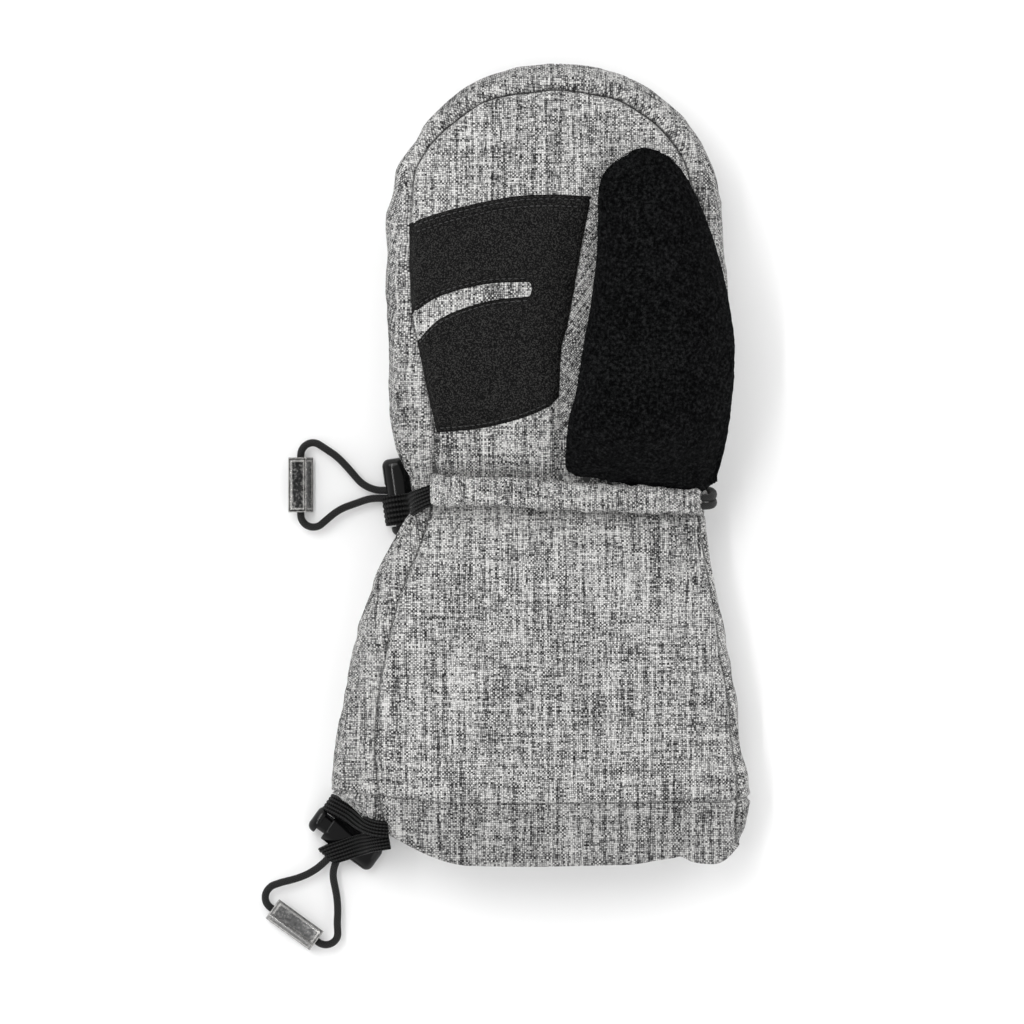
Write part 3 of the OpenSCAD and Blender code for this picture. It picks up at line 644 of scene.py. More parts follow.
def cloth_relief():
    """Soft wrinkles of the padded shell: a pressurised cloth simulation, read as distance along the normal."""
    rows, cols = shape = 92, 96
    q = np.linspace(-121, TIP + TIP_LEN * 1.4, rows)
    a = circle_angles(cols, -math.pi / 2)
    y = np.where(q < TIP, q, TIP + TIP_LEN * np.sin(np.clip((q - TIP) / TIP_LEN, 0, math.pi / 2)))
    base = body(*over_grid(y, a))
    rough = base + 0.5 * normals(base) * value_noise(shape, (30, 26), 5)[..., None]
    scale = 10
    ob = add_mesh("sim_shell", rough.reshape(-1, 3) * scale, grid_faces(rows, cols, True))
    pin = ob.vertex_groups.new(name="pin")
    grow = ob.vertex_groups.new(name="grow")
    for i in range(rows):
        ids = list(range(i * cols, (i + 1) * cols))
        hold = max(float(bell(q[i], 4.5)), 1.0 if i < 1 or i > rows - 3 else 0.0)
        if hold > 0.2:
            pin.add(ids, hold, "REPLACE")
        grow.add(ids, float(np.exp(-(abs(q[i]) - 4) / 16)) if abs(q[i]) > 4 else 1.0, "REPLACE")
    cloth = ob.modifiers.new("cloth", "CLOTH")
    settings = dict(
        quality=6, mass=0.35, tension_stiffness=12, compression_stiffness=12, shear_stiffness=4,
        bending_stiffness=0.35, tension_damping=8, compression_damping=8, air_damping=3, use_pressure=True,
        uniform_pressure_force=1.6, vertex_group_mass="pin", pin_stiffness=4, vertex_group_shrink="grow",
        shrink_min=-0.035, shrink_max=-0.13)
    for key, value in settings.items():
        setattr(cloth.settings, key, value)
    cloth.settings.effector_weights.gravity = 0
    last = 24
    cloth.point_cache.frame_start, cloth.point_cache.frame_end = 1, last
    scene = bpy.context.scene
    for f in range(1, last + 1):
        scene.frame_set(f)
    dg = bpy.context.evaluated_depsgraph_get()
    me = ob.evaluated_get(dg).to_mesh()
    co = np.empty(len(me.vertices) * 3, np.float32)
    me.vertices.foreach_get("co", co)
    scene.frame_set(1)
    bpy.data.objects.remove(ob)
    soft = co.reshape(rows, cols, 3).astype(float) / (scale * MM)
    d = ((soft - base) * normals(base)).sum(-1)
    d = np.nan_to_num(np.clip(d, -8, 8))
    wide, reach = d.copy(), 4
    span = 2 * reach + 1
    for _ in range(3):
        pad = np.pad(wide, ((reach, reach), (0, 0)), "edge")
        wide = sum(pad[k:k + rows] for k in range(span)) / span
        wide = sum(np.roll(wide, k, 1) for k in range(-reach, reach + 1)) / span
    d = d - wide
    print("cloth relief, mm:", round(float(np.abs(d).max()), 2), round(float(d.std()), 3))
    return q, 1.15 * np.tanh(0.42 * d) * (1 - bell(q[:, None] + 124, 9))


SIM_Q, SIM_D = cloth_relief()
PALM_SEAM = polyline([
    (-43.0, 2), (-42.5, 21), (-47.5, 49), (-49.6, 61), (-50.8, 91), (-49.6, 107.7), (-42.3, 119.2),
    (-26.7, 131.8), (-3.7, 136.6), (17.2, 134.2), (32.9, 124.5), (42.3, 111.9), (44.4, 103.6), (48.6, 89),
    (51.9, 78), (54.6, 65), (56.3, 52), (56.0, 38), (53.5, 22), (50.5, 8), (50.0, 2)])
CUFF_LEFT = polyline([
    (-42.5, 2), (-45.8, -12.2), (-55.4, -39.9), (-62.0, -77.3), (-61.0, -99.1), (-59.6, -112), (-57, -126)])
CUFF_RIGHT = polyline([
    (49.0, 2), (48.0, -8.4), (51.5, -30), (56.2, -58), (59.4, -82), (60.8, -104), (60.0, -128)])
GUSSET = polyline([(0.6, 19), (-0.1, 32), (0.8, 49.2), (2.8, 56.6), (7.0, 80.6), (10.6, 99.4), (15.0, 107)])


def pleats(a, y, count, reach, seed):
    """Gathers that run out from the drawn-in wrist and fade. a is the angle, y the distance from the band."""
    r = np.random.default_rng(seed)
    out = np.zeros(np.broadcast(a, y).shape)
    for k in range(count):
        at = (k + r.uniform(-0.38, 0.38)) * TAU / count
        w = r.uniform(0.018, 0.042)
        long_ = r.uniform(0.5, 1.35) * reach
        drift = r.uniform(-0.0022, 0.0022)
        d = (a - at - drift * y + math.pi) % TAU - math.pi
        out -= r.uniform(0.5, 1.25) * bell(d, w * (1 + y / 60)) * np.exp(-(y / long_) ** 1.5)
        out += 0.35 * bell(np.abs(d) - 0.06, 0.03) * np.exp(-y / long_)
    return out


def groove(d, depth, width, puff=0.3):
    return -depth * bell(d, width) + puff * bell(np.abs(d) - 2.6 * width, 1.7 * width)


def shell_surface():
    """The cover's points from inside the hem round its fold to the fingertips, with its material's maps."""
    t = np.linspace(math.pi, 0, 11)
    fold_y, fold_o = -CUFF + RIM - RIM * np.sin(t), RIM - RIM * np.cos(t)
    inner = np.linspace(-HEM, fold_y[0], 15)[:-1]
    outer = np.arange(-CUFF + RIM, TIP, ROW_STEP)[1:]
    ends = np.linspace(0, math.pi / 2, 84)
    y = np.concatenate([inner, fold_y, outer, TIP + TIP_LEN * np.sin(ends)])
    o = np.concatenate([np.full(len(inner), 2 * RIM), fold_o, np.zeros(len(outer) + len(ends))])
    q = np.concatenate([y[:len(inner) + len(t)], outer, TIP + TIP_LEN * ends])
    first = len(inner) + len(t) - 1
    yy, aa = over_grid(y, A)
    p = body(yy, aa, o[:, None])
    n = normals(p)
    x, top = p[..., 0], np.sin(aa) > -0.12
    flat = p.copy()

    palm = distance(x, p[..., 1], PALM_SEAM)
    right, left = distance(x, p[..., 1], CUFF_RIGHT), -distance(x, p[..., 1], CUFF_LEFT)
    cuff = np.where(np.abs(right) < np.abs(left), right, left)
    seam = np.where(top, np.where(yy > 0, palm, cuff), -FAR)
    outside = np.arange(len(y))[:, None] >= first

    relief = resample(SIM_D[..., None], np.interp(q, SIM_Q, np.arange(len(SIM_Q))),
                      np.arange(COLS) * SIM_D.shape[1] / COLS)[..., 0]
    d = np.where(outside, relief, 0)
    away = np.maximum(np.abs(yy) - 5.2, 0)
    gathers = np.where(yy > 0, pleats(aa, away, 40, 13, 3), pleats(aa, away, 44, 17, 4))
    d += gathers * (1 - 0.35 * bell(away, 2))
    d += -0.9 * bell(np.abs(yy) - 5.8, 1.7) - 0.7 * np.exp(-(yy / 4.6) ** 4)
    d += np.where(outside, 1, 0) * groove(seam, 1.3, 1.25, 0.4) * (1 + 0.5 * smooth((yy - 95) / 25))
    gus = distance(x, p[..., 1], GUSSET)
    gusset = np.where(top & (yy > 19) & (yy < 106) & (np.abs(gus) < 14), gus, -20.0)
    d += np.where(yy > 0, groove(gusset, 0.5, 0.8, 0.0), 0)
    hem = yy + HEM + 0.5
    shape = len(y), COLS
    wave = value_noise(shape, (6, 46), 11) * 0.32 + value_noise(shape, (6, 90), 12) * 0.16
    d += np.where(outside, groove(hem, 1.1, 0.8, 0.35) + wave * smooth((-yy - 92) / 10), 0)
    d += np.where(outside, 0.22, 0) * value_noise(shape, (70, 70), 13)
    swell = 0.55 * value_noise(shape, (13, 12), 14) + 0.3 * value_noise(shape, (26, 22), 15)
    d += np.where(outside, swell, 0) * smooth((np.abs(yy) - 10) / 14) * smooth((yy + CUFF - 1) / 8)
    p = p + n * d[..., None]
    p[..., 2] = np.maximum(p[..., 2], 0.12)
    cut = int(np.argmin(np.abs(y[:len(inner) + len(t) + len(outer)])))
    # painted shade: colour darkened beyond the palm and cuff seams (sides and back) and on the hem band
    shade = np.maximum(0.17 * smooth(-seam / 7), 0.2 * smooth((-yy - HEM + 0.5) / 2))
    return p, {"seam": seam, "flat_mm": flat, "facing": n, "gusset": gusset, "shade": shade,
               "hem": np.where(outside, hem, FAR)}, cut, first


def shell_material():
    """Weave laid flat on the palm; on the back panel it follows whichever way the surface faces."""
    n = Nodes("heather_shell")
    seam, gusset = n.attr("seam", "Fac"), n.attr("gusset", "Fac")
    x, y, z = n.xyz(n.attr("flat_mm"))
    nx, ny, nz = [n.size(c) for c in n.xyz(n.attr("facing"))]
    palm = n.vec(x, y)
    turned = n.turn(palm, 0.62)
    palm = n.mixv(n.above(gusset, 0.0), palm, turned)
    side = n.turn(n.vec(z, y), 0.3)
    back = n.mixv(n.above(nx, n.mul(nz, 1.15)), n.vec(n.add(x, 300.0), y), side)
    front = n.above(ny, n.max(nx, n.mul(nz, 1.15)))
    back = n.mixv(front, back, n.vec(n.add(x, 300.0), z))
    coords = n.mixv(n.above(seam, 0.0), back, palm)
    tone, height = weave(n, coords)
    tips = n.mul(n.sub(y, 90.0), 0.03, clamp=True)
    # painted shade along the seam, gusset and hem grooves, deeper towards the fingertips
    lines = [(seam, 0.62, n.mad(tips, 0.32, 0.6)), (gusset, 0.4, 0.45), (n.attr("hem", "Fac"), 0.5, 0.45)]
    return finish_heather(n, tone, height, lines, n.attr("shade", "Fac"))


def finish_heather(n, tone, height, lines=(), shade=0.0):
    # painted shade: the colour darkens where the yarns dip between crossings
    value = n.mad(n.sub(height, 0.62), 0.5, tone)
    value = n.mad(n.sub(value, 0.5), 1.17, 0.49)
    colour = n.ramp(value, [(0.0, (0.014, 0.014, 0.0145)), (0.27, (0.085, 0.085, 0.0855)),
                            (0.5, (0.27, 0.269, 0.266)), (0.75, (0.48, 0.477, 0.47)), (1.0, (0.72, 0.715, 0.70))])
    # painted shade: colour mixed toward black by the shade attribute
    colour = n.mixc(shade, colour, (0.0, 0.0, 0.0, 1))
    # painted shade: each line darkens the colour along its groove
    for at, width, dark in lines:
        line = n.mul(n.sub(width, n.size(at)), 2.2, clamp=True)
        colour = n.mixc(n.mul(line, dark), colour, (0.012, 0.012, 0.012, 1))
    fuzz = n.noise(n.here(), 4000.0, 2, 0.6)
    bump = n.bump(n.mad(fuzz, 0.35, height), 0.0003, 0.8)
    return n.set(Base_Color=colour, Roughness=0.9, Normal=bump, Specular_IOR_Level=0.12, Sheen_Weight=0.05,
                 Sheen_Roughness=0.5)


def strip_material(name, turn=0.0, seed=0.0):
    n = Nodes(name)
    coords = n.attr("uv_mm")
    if turn:
        coords = n.turn(coords, turn)
    tone, height = weave(n, coords, seed=seed)
    return finish_heather(n, tone, height)


SHELL = shell_material()
FLEECE = fleece_material()
GRIP = grip_material()
CORD = cord_material()
WEB = webbing_material()
PLASTIC = plastic_material()
DARK_METAL, GREY_METAL = bead_material("bead_metal", 0.009, 0.035), bead_material("bead_metal_worn", 0.07, 0.17)
STEEL = steel_material()
LINING = plain_fabric("lining_fabric", 0.035, 0.10)
WADDING = plain_fabric("wadding", 0.6, 0.85, 300.0)
LABEL = plain_fabric("label_fabric", 0.55, 0.75, 1500.0, 0.6, 0.1)
GREY_THREAD = thread_material("shell_thread", 0.17)
BLACK_THREAD = thread_material("grip_thread", 0.008)

P, ATTR, CUT, FIRST = shell_surface()
cuff_cover = grid_mesh("cuff_cover", P[:CUT + 1], True, {k: v[:CUT + 1] for k, v in ATTR.items()})
hand_cover = grid_mesh("hand_cover", P[CUT:], True, {k: v[CUT:] for k, v in ATTR.items()}, poles=True)
put(cuff_cover, SHELL, "mitten", "heather_shell", "cuff_palm_shell", "cuff_back_shell", "hem_facing")
put(hand_cover, SHELL, "mitten", "heather_shell", "palm_shell", "back_shell")


def tree_of(ob):
    me = ob.data
    return BVHTree.FromPolygons([v.co[:] for v in me.vertices], [list(f.vertices) for f in me.polygons])


HAND_TREE = tree_of(hand_cover)


def drop(tree, xy, lift=0.0):
    """Points and normals where lines straight down first meet a surface; millimetres."""
    pts, ups = [], []
    for x, y in xy:
        hit, nor, _, _ = tree.ray_cast(Vector((x * MM, y * MM, 0.2)), Vector((0, 0, -1)))
        if hit is None:
            hit, nor, _, _ = tree.find_nearest(Vector((x * MM, y * MM, 0.02)))
        nor = np.array(nor if nor.z > 0 else -nor)
        pts.append(np.array(hit) / MM + lift * nor)
        ups.append(nor)
    return np.array(pts), np.array(ups)


# ---------------------------------------------------------------- grip patch

def curve(rows):
    return lambda v: table(rows, v)[0]


def patch_surface():
    """The patch's two halves, below and above its slit, its rows of stitches, and how near these are, which sets
    the painted shade along them.
    """
    foot = curve([(-41.3, 20.6), (-27, 21.9), (-14.1, 24.9), (-6, 28.0), (-3.2, 29.6), (-0.3, 32.5)])
    head = curve([(-50.7, 90.5), (-43, 93.2), (-35, 95.4), (-16.2, 99.2), (-3.7, 99.9), (10.4, 99.4)])
    left = curve([(20.6, -41.2), (35, -44.4), (49.2, -47.3), (60.2, -49.4), (75, -50.2), (90.5, -50.5)])
    right = curve([(32.5, -0.3), (49.2, 0.6), (56.6, 2.6), (80.6, 6.8), (99.4, 10.4)])
    slit_low = curve([(-48.1, 50.8), (-40.2, 58.4), (-24.6, 64.2), (-9.9, 65.9)])
    slit_high = curve([(-49.6, 60.2), (-40.2, 66), (-24.6, 70.0), (-9.9, 70.7)])
    end, corner = -9.4, 1.6

    def slit(x):
        lo, hi = slit_low(x), slit_high(x)
        mid, half = (lo + hi) / 2, (hi - lo) / 2
        close = np.sqrt(np.clip(1 - np.clip((x - end + corner) / corner, 0, 1) ** 2.6, 0, 1))
        mid = mid + 0.1 * np.maximum(x - end, 0)
        return mid - half * close, mid + half * close

    cols, rows = 130, 46
    u = np.linspace(0, 1, cols)
    halves = []
    for part in (0, 1):
        v = np.linspace(0, 1, rows)[:, None]
        y = np.full((rows, cols), 40.0 if part == 0 else 80.0)
        for _ in range(6):
            x = mix(left(y), right(y), u)
            lo, hi = slit(x)
            y = mix(foot(x), lo, v) if part == 0 else mix(hi, head(x), v)
        halves.append((x, y))
    grids, sewn = [], []
    for part, (x, y) in enumerate(halves):
        lo, hi = slit(x)
        to_slit = np.where(x < end + 0.2, lo - y if part == 0 else y - hi, 9.0)
        to_slit = np.minimum(np.abs(to_slit), 9)
        bottom = y - foot(x) if part == 0 else np.full_like(y, 30.0)
        top = head(x) - y if part == 1 else np.full_like(y, 30.0)
        side = np.minimum(x - left(y), right(y) - x)
        edge = np.minimum.reduce([to_slit, bottom, top, side])
        lift = 0.12 + 0.72 * (1 - np.exp(-edge / 0.45))
        rows_at = ((top - 1.5, 0.34), (top - 3.8, 0.34), (to_slit - 1.3, 0.32), (bottom - 1.4, 0.32))
        lift -= sum(depth * bell(d, 0.5) for d, depth in rows_at)
        lift += 0.1 * value_noise(x.shape, (16, 22), 31 + part)
        # painted shade mask: near the stitch rows and the patch's edges
        sewn.append(sum(bell(d, 0.42) for d, _ in rows_at) + 0.7 * bell(edge, 0.35))
        flat, _ = drop(HAND_TREE, np.stack([x.ravel(), y.ravel()], -1))
        z = flat[:, 2].reshape(x.shape)
        pad = np.pad(z, 2, "edge")
        z = sum(pad[i:i + rows, j:j + cols] for i in range(5) for j in range(5)) / 25
        grids.append(np.stack([x, y, z + lift], -1))
    verts = np.concatenate([g.reshape(-1, 3) for g in grids])
    faces = np.concatenate([grid_faces(rows, cols, start=k * rows * cols, flip=True) for k in (0, 1)])
    lines = [(-49.2 + 0.3 * k, 9.2 - 0.35 * k, 60, lambda x, k=k: head(x) - k) for k in (1.5, 3.8)]
    lines += [(-40.4, -3.4, 40, lambda x: foot(x) + 1.4), (-47, -10.5, 40, lambda x: slit(x)[0] - 1.3),
              (-48.4, -10.5, 40, lambda x: slit(x)[1] + 1.3)]
    paths = []
    for x0, x1, count, line in lines:
        x = np.linspace(x0, x1, count)
        paths.append(np.stack([x, line(x)], -1))
    return verts, faces, paths, np.concatenate([v.ravel() for v in sewn])


def apply_modifiers(ob):
    dg = bpy.context.evaluated_depsgraph_get()
    me = bpy.data.meshes.new_from_object(ob.evaluated_get(dg), preserve_all_data_layers=True, depsgraph=dg)
    ob.modifiers.clear()
    ob.data = me


def grip():
    verts, faces, paths, sewn = patch_surface()
    patch = add_mesh("grip_patch_soft", verts, faces, {"sewn": sewn})
    weld(patch, 2e-5)
    solid = patch.modifiers.new("thick", "SOLIDIFY")
    solid.thickness, solid.offset = 0.8 * MM, -1
    apply_modifiers(patch)
    put(patch, GRIP, "mitten", "grip_coating", "grip_patch")
    tree, sewing = tree_of(patch), []
    for k, path in enumerate(paths):
        pts, ups = drop(tree, polyline(path, 0.8), 0.02)
        sewing.append(stitches(f"row{k}", pts, ups, 2.1, 1.55, 0.2))
    put(join("grip_stitching", sewing), BLACK_THREAD, "mitten", "grip_coating")


grip()


def wrist_top(x, y):
    """Height of the drawn-in wrist's top."""
    l, r, b, t = table(BODY, 0.0 * x)
    s = np.clip(np.abs(x - (l + r) / 2) / ((r - l) / 2), 0, 0.995)
    lift = (1 - s**POWER) ** (1 / POWER)
    return (b + t) / 2 + (t - b) / 2 * lift + 0 * y


# ---------------------------------------------------------------- thumb

FOLD = np.array([3.48, 12.0, 0.0])
SLOPE = math.radians(34.5)
ALONG = np.array([math.cos(SLOPE), math.sin(SLOPE), 0.0])
AWAY = np.array([-math.sin(SLOPE), math.cos(SLOPE), 0.0])
# distance from the fold, start and end along it, underside and top as shares of HEIGHT
THUMB = [
    (-34.2, 29.5, 35.8, 0.7, 0.80), (-26.5, 20.8, 44.5, 0.74, 0.96), (-19, 12.8, 51.5, 0.78, 1.08),
    (-12, 5.6, 57.2, 0.79, 1.16), (-3.7, -2.6, 63.6, 0.79, 1.21), (0, -1.6, 66.3, 0.79, 1.22),
    (10.3, 6.4, 72, 0.79, 1.23), (16.5, 13.6, 75, 0.79, 1.23), (29.2, 25.8, 79.3, 0.79, 1.21),
    (37, 33.2, 81.4, 0.80, 1.20), (44.2, 39.8, 83, 0.82, 1.19), (51.1, 46.2, 84.3, 0.845, 1.17),
    (57.5, 51, 84.8, 0.875, 1.15), (64, 55.2, 83.8, 0.905, 1.12), (68.4, 58.3, 81.4, 0.935, 1.09),
    (71.2, 61.9, 78.4, 0.965, 1.05), (72.6, 65.4, 75.4, 0.99, 1.022), (73.4, 70.4, 70.5, 1.005, 1.006),
]
THUMB = [(*row[:3], row[3] * HEIGHT, row[4] * HEIGHT) for row in THUMB]
THUMB_POWER = 2 / 2.3


def thumb_point(n, a, o=0.0):
    s, e, lo, hi = table(THUMB, n)
    room = 1 - smooth((n - 64) / 8)
    w = np.maximum((e - s) / 2 - o * room, 0)
    h = np.maximum((hi - lo) / 2 - o * room, 0)
    along = (s + e) / 2 + w * spow(np.cos(a), THUMB_POWER)
    p = FOLD + (n - o * smooth((n - 40) / 25))[..., None] * AWAY + along[..., None] * ALONG
    z = (lo + hi) / 2 + h * spow(np.sin(a), THUMB_POWER) - 0.0045 * np.maximum(0, p[..., 0] - 24.94) ** 2
    sewn = wrist_top(np.clip(p[..., 0], -46, 46.5), p[..., 1]) + 1.4 - o
    sewn = sewn - 2.6 * np.sqrt(np.maximum(-np.sin(a), 0))
    from_wrist = p[..., 1] - np.interp(p[..., 0], [0, 25, 47.5, 52], [6.6, 3.6, 0.6, 3.0])
    z = mix(np.minimum(z, sewn), z, np.clip(from_wrist / 15, 0, 1) ** 0.55)
    return np.stack([p[..., 0], p[..., 1], z], -1)


def thumb_grid(n, a, o=0.0):
    return thumb_point(*over_grid(n, a), o)


def thumb_rows():
    t = np.linspace(0, math.pi / 2, 26)
    return np.concatenate([np.arange(-34.2, 58, 0.9), 58 + 15.4 * np.sin(t)])


def bend(ob):
    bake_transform(ob)


def thumb_pieces():
    n = thumb_rows()
    a = np.linspace(math.radians(-16), math.radians(196), 150)
    p = thumb_grid(n, a)
    nor = normals(p, False)
    seed = np.random.default_rng(21)
    pile = seed.normal(0, 1, p.shape[:2])
    pile = (pile + np.roll(pile, 1, 0) + np.roll(pile, 1, 1)) / 3
    folds = 0.4 * value_noise(p.shape[:2], (9, 9), 22) + 0.12 * value_noise(p.shape[:2], (34, 40), 23)
    crease = -1.1 * bell(n[:, None] + 1.5, 2.4) * smooth(np.sin(a) * 1.4)
    edge = smooth((np.minimum(a - a[0], a[-1] - a) / 0.25))
    live = smooth((73.4 - n[:, None]) / 2)
    p = p + nor * ((0.17 * pile + folds * edge) * live + crease)[..., None]
    cover = grid_mesh("thumb_cover", p, thick=1.3)
    put(cover, FLEECE, None, "black_fleece", "thumb_base_fleece", "thumb_fleece")
    weld(cover, 2e-6)
    bend(cover)

    m = n[n > -16]
    b = np.linspace(math.radians(188), math.radians(352), 60)
    q = thumb_grid(m, b, 0.4)
    nq = normals(q, False)
    q = q + nq * (0.35 * value_noise(q.shape[:2], (20, 14), 24))[..., None]
    around = np.cumsum(np.linalg.norm(np.diff(q, axis=1), axis=-1), 1)
    around = np.concatenate([np.zeros((len(m), 1)), around], 1)
    uv = np.stack([around, m[:, None] + 0 * b, 0 * around], -1)
    panel = grid_mesh("thumb_palm_panel", q, attrs={"uv_mm": uv}, thick=0.8)
    weld(panel, 2e-6)
    put(panel, strip_material("heather_bias", 0.7, 4.0), None, "heather_shell", "thumb_inner_panel")
    bend(panel)

    k = np.concatenate([np.arange(-20, 56, 2.0), [58, 61, 63]])
    c = circle_angles(72)
    q = thumb_grid(k, c, 2.2)
    q = q + normals(q) * (0.3 * value_noise(q.shape[:2], (24, 30), 25))[..., None]
    lining = grid_mesh("thumb_lining_soft", q, True, thick=1.2)
    put(lining, LINING, None, "lining_fabric", "thumb_lining")
    bend(lining)


thumb_pieces()

# ---------------------------------------------------------------- linings, wadding, label

def inner_layer(name, ys, inset, thick, cols, material, slot, amp, node):
    a = circle_angles(cols, -math.pi / 2)
    p = body(*over_grid(ys, a), inset[:, None])
    p = p + normals(p) * (amp * value_noise(p.shape[:2], (len(ys) // 2, cols // 4), 41))[..., None]
    p[..., 2] = np.maximum(p[..., 2], 1.2)
    ob = grid_mesh(name, p, True, thick=thick)
    return put(ob, material, "mitten", slot, node)


ys = np.arange(-CUFF + 20, 1, 1.6)
inner_layer("cuff_lining_soft", ys, 5.2 + 0 * ys, 1.0, 180, LINING, "lining_fabric", 0.35, "cuff_lining")
ys = np.concatenate([np.arange(0, 84, 2.4), TIP + 53 * np.sin(np.linspace(0, 1.45, 24))])
inner_layer("hand_lining_soft", ys, 2.2 + 3.1 * smooth((ys - 6) / 14), 1.0, 140, LINING, "lining_fabric", 0.25,
            "hand_lining")
ys = np.concatenate([np.arange(16, 84, 3.0), TIP + 56.4 * np.sin(np.linspace(0, 1.45, 20))])
inner_layer("hand_wadding", ys, 3.4 + 0 * ys, 1.2, 110, WADDING, "wadding", 0.2, "hand_insulation")


def label():
    v, w = np.linspace(0, 1, 24), np.linspace(0, 1, 14)
    y = -70 + 18 * v[:, None] + 0 * w
    z = 16.3 + 9 * w + 0 * v[:, None]
    x = -53.5 + 0.8 * np.sin(v[:, None] * 5) * w + 1.8 * w**2
    ob = grid_mesh("care_label_soft", np.stack([x, y, z], -1), thick=0.4)
    put(ob, LABEL, "mitten", "label_fabric", "care_label")


label()

# ---------------------------------------------------------------- wrist bands

def band(name, x0, x1, centre, width, height, mid_z, lowest, node, seed):
    """A padded strip across the wrist. centre and width are functions of x; mid_z of x and y."""
    shape = rows, cols = 190, 64
    xs, a = np.linspace(x0, x1, rows), circle_angles(cols)
    c, w = centre(xs)[:, None], width(xs)[:, None] / 2
    taper = np.clip(np.minimum(xs - x0, x1 - xs) / 2.2, 0, 1)[:, None]
    taper = 0.35 + 0.65 * np.sqrt(1 - (1 - taper) ** 2)
    ca, sa = spow(np.cos(a), 0.72), spow(np.sin(a), 0.72)
    y = c + w * ca * (0.9 + 0.1 * taper)
    z = mid_z(xs[:, None], y) + height * taper * sa
    p = np.stack([xs[:, None] + 0 * a, y, z], -1)
    diag = value_noise(shape, (30, 6), seed)
    sheared = np.stack([np.roll(row, int(i * 0.32) % cols) for i, row in enumerate(diag)])
    d = 0.62 * sheared + 0.26 * value_noise(shape, (60, 14), seed + 1)
    d = d - 0.35 * np.exp(-((ca * w) ** 2) / 1.2) * (sa > 0)
    p = p - normals(p) * (d * taper)[..., None]
    p[..., 2] = np.maximum(p[..., 2], lowest)
    around = np.linalg.norm(np.roll(p, -1, 1) - p, axis=-1)
    around = np.concatenate([np.zeros((rows, 1)), np.cumsum(around[:, :-1], 1)], 1)
    put(outward(tube(name, p, xs[:, None], around)), BAND, "mitten", "heather_shell", node)


def band_line(x):
    return np.interp(x, [-43.4, -20, 10, 48.6], [1.2, 0.7, -0.9, -2.7])


BAND = strip_material("heather_band", 0.0, 9.0)
band("wrist_band_palm", -43.4, 48.6, band_line, lambda x: np.interp(x, [-43.4, 10, 48.6], [10.2, 9.6, 8.6]),
     3.0, lambda x, y: wrist_top(x, y) + 1.9, 0.0, "wrist_casing_palm", 51)
band("wrist_band_back", -40.8, 40.8, lambda x: 0 * x, lambda x: 11 + 0 * x,
     3.6, lambda x, y: 3.75 + 0 * x * y, 0.1, "wrist_casing_back", 61)

# ---------------------------------------------------------------- cords

# half the distance between the strands, the cord's radius, and a loop's shape: where it starts to spread, the
# bend's radius, the spread's angle, the radius of the turn back to the bead and half its width
STRAND, CORD_R = 1.35, 1.25
EXIT_X, BEND_R, SPREAD, TURN_R, HALF_WIDTH = 6.8, 13, math.radians(37), 4.2, 10.1


def half_loop(tail):
    def rise(t):
        return np.array([math.sin(t), 1 - math.cos(t)])
    s = SPREAD
    p1 = np.array([EXIT_X, STRAND])
    p2 = p1 + BEND_R * rise(s)
    spread_y = HALF_WIDTH - STRAND - BEND_R * (1 - math.cos(s)) + TURN_R * math.cos(s)
    p3 = p2 + spread_y / math.sin(s) * np.array([math.cos(s), math.sin(s)])
    c = p3 + TURN_R * np.array([math.sin(s), -math.cos(s)])
    pts = [(-tail * k / 8, STRAND) for k in range(8, -1, -1)]
    pts += [tuple(p1 + BEND_R * rise(s * k / 8)) for k in range(9)]
    pts += [tuple(mix(p2, p3, k / 5)) for k in range(1, 5)]
    for k in range(13):
        t = s - k * (math.pi / 2 + s) / 12
        pts.append(tuple(c + TURN_R * np.array([-math.sin(t), math.cos(t)])))
    return np.array(pts + [(c[0] + TURN_R, 0.0)])


BEAD_X = float(half_loop(1)[-1, 0])


def loop_path(tail, skew, seed):
    h = half_loop(tail)
    x, y = np.concatenate([h, h[-2::-1] * [1, -1]]).T
    free = smooth((x - 9) / 8) * smooth((BEAD_X - 4 - x) / 6)
    y = y + skew * smooth((x - EXIT_X) / 18) + 0.5 * free * np.sin(x * 0.33 + seed)
    z = 0.35 * free * np.sin(x * 0.21 + seed * 2)
    return polyline(np.stack([-x, y, z], -1), 0.55)


def place(pts, at, turn, flip=False):
    """From a lock's own frame into the mitten's."""
    pts = np.asarray(pts, float).copy()
    if flip:
        pts[..., 1:] *= -1
    c, s = math.cos(math.radians(turn)), math.sin(math.radians(turn))
    x, y = pts[..., 0] * c - pts[..., 1] * s, pts[..., 0] * s + pts[..., 1] * c
    return np.stack([x, y, pts[..., 2]], -1) + np.asarray(at)


# a lock's place, its turn in degrees and whether it lies face down; the wrist's loop lies straighter
WRIST_AT, HEM_AT = np.array([-53.7, 0, 4.5]), np.array([-71.9325, -117.03, 4.6])
WRIST_LOOP, WRIST_LOCK, HEM_LOCK = (WRIST_AT, 0, False), (WRIST_AT, 8, False), (HEM_AT, 54, True)
for end, tail, skew, seed, lock in (("wrist", 53.4, 3.2, 1.0, WRIST_LOOP), ("hem", 21, 2.6, 2.0, HEM_LOCK)):
    loop = sweep(f"{end}_pull_cord", place(loop_path(tail, skew, seed), *lock), circle(CORD_R, 14))
    put(loop, CORD, f"{end}_pull", "elastic_cord", f"{end}_cord_loop")


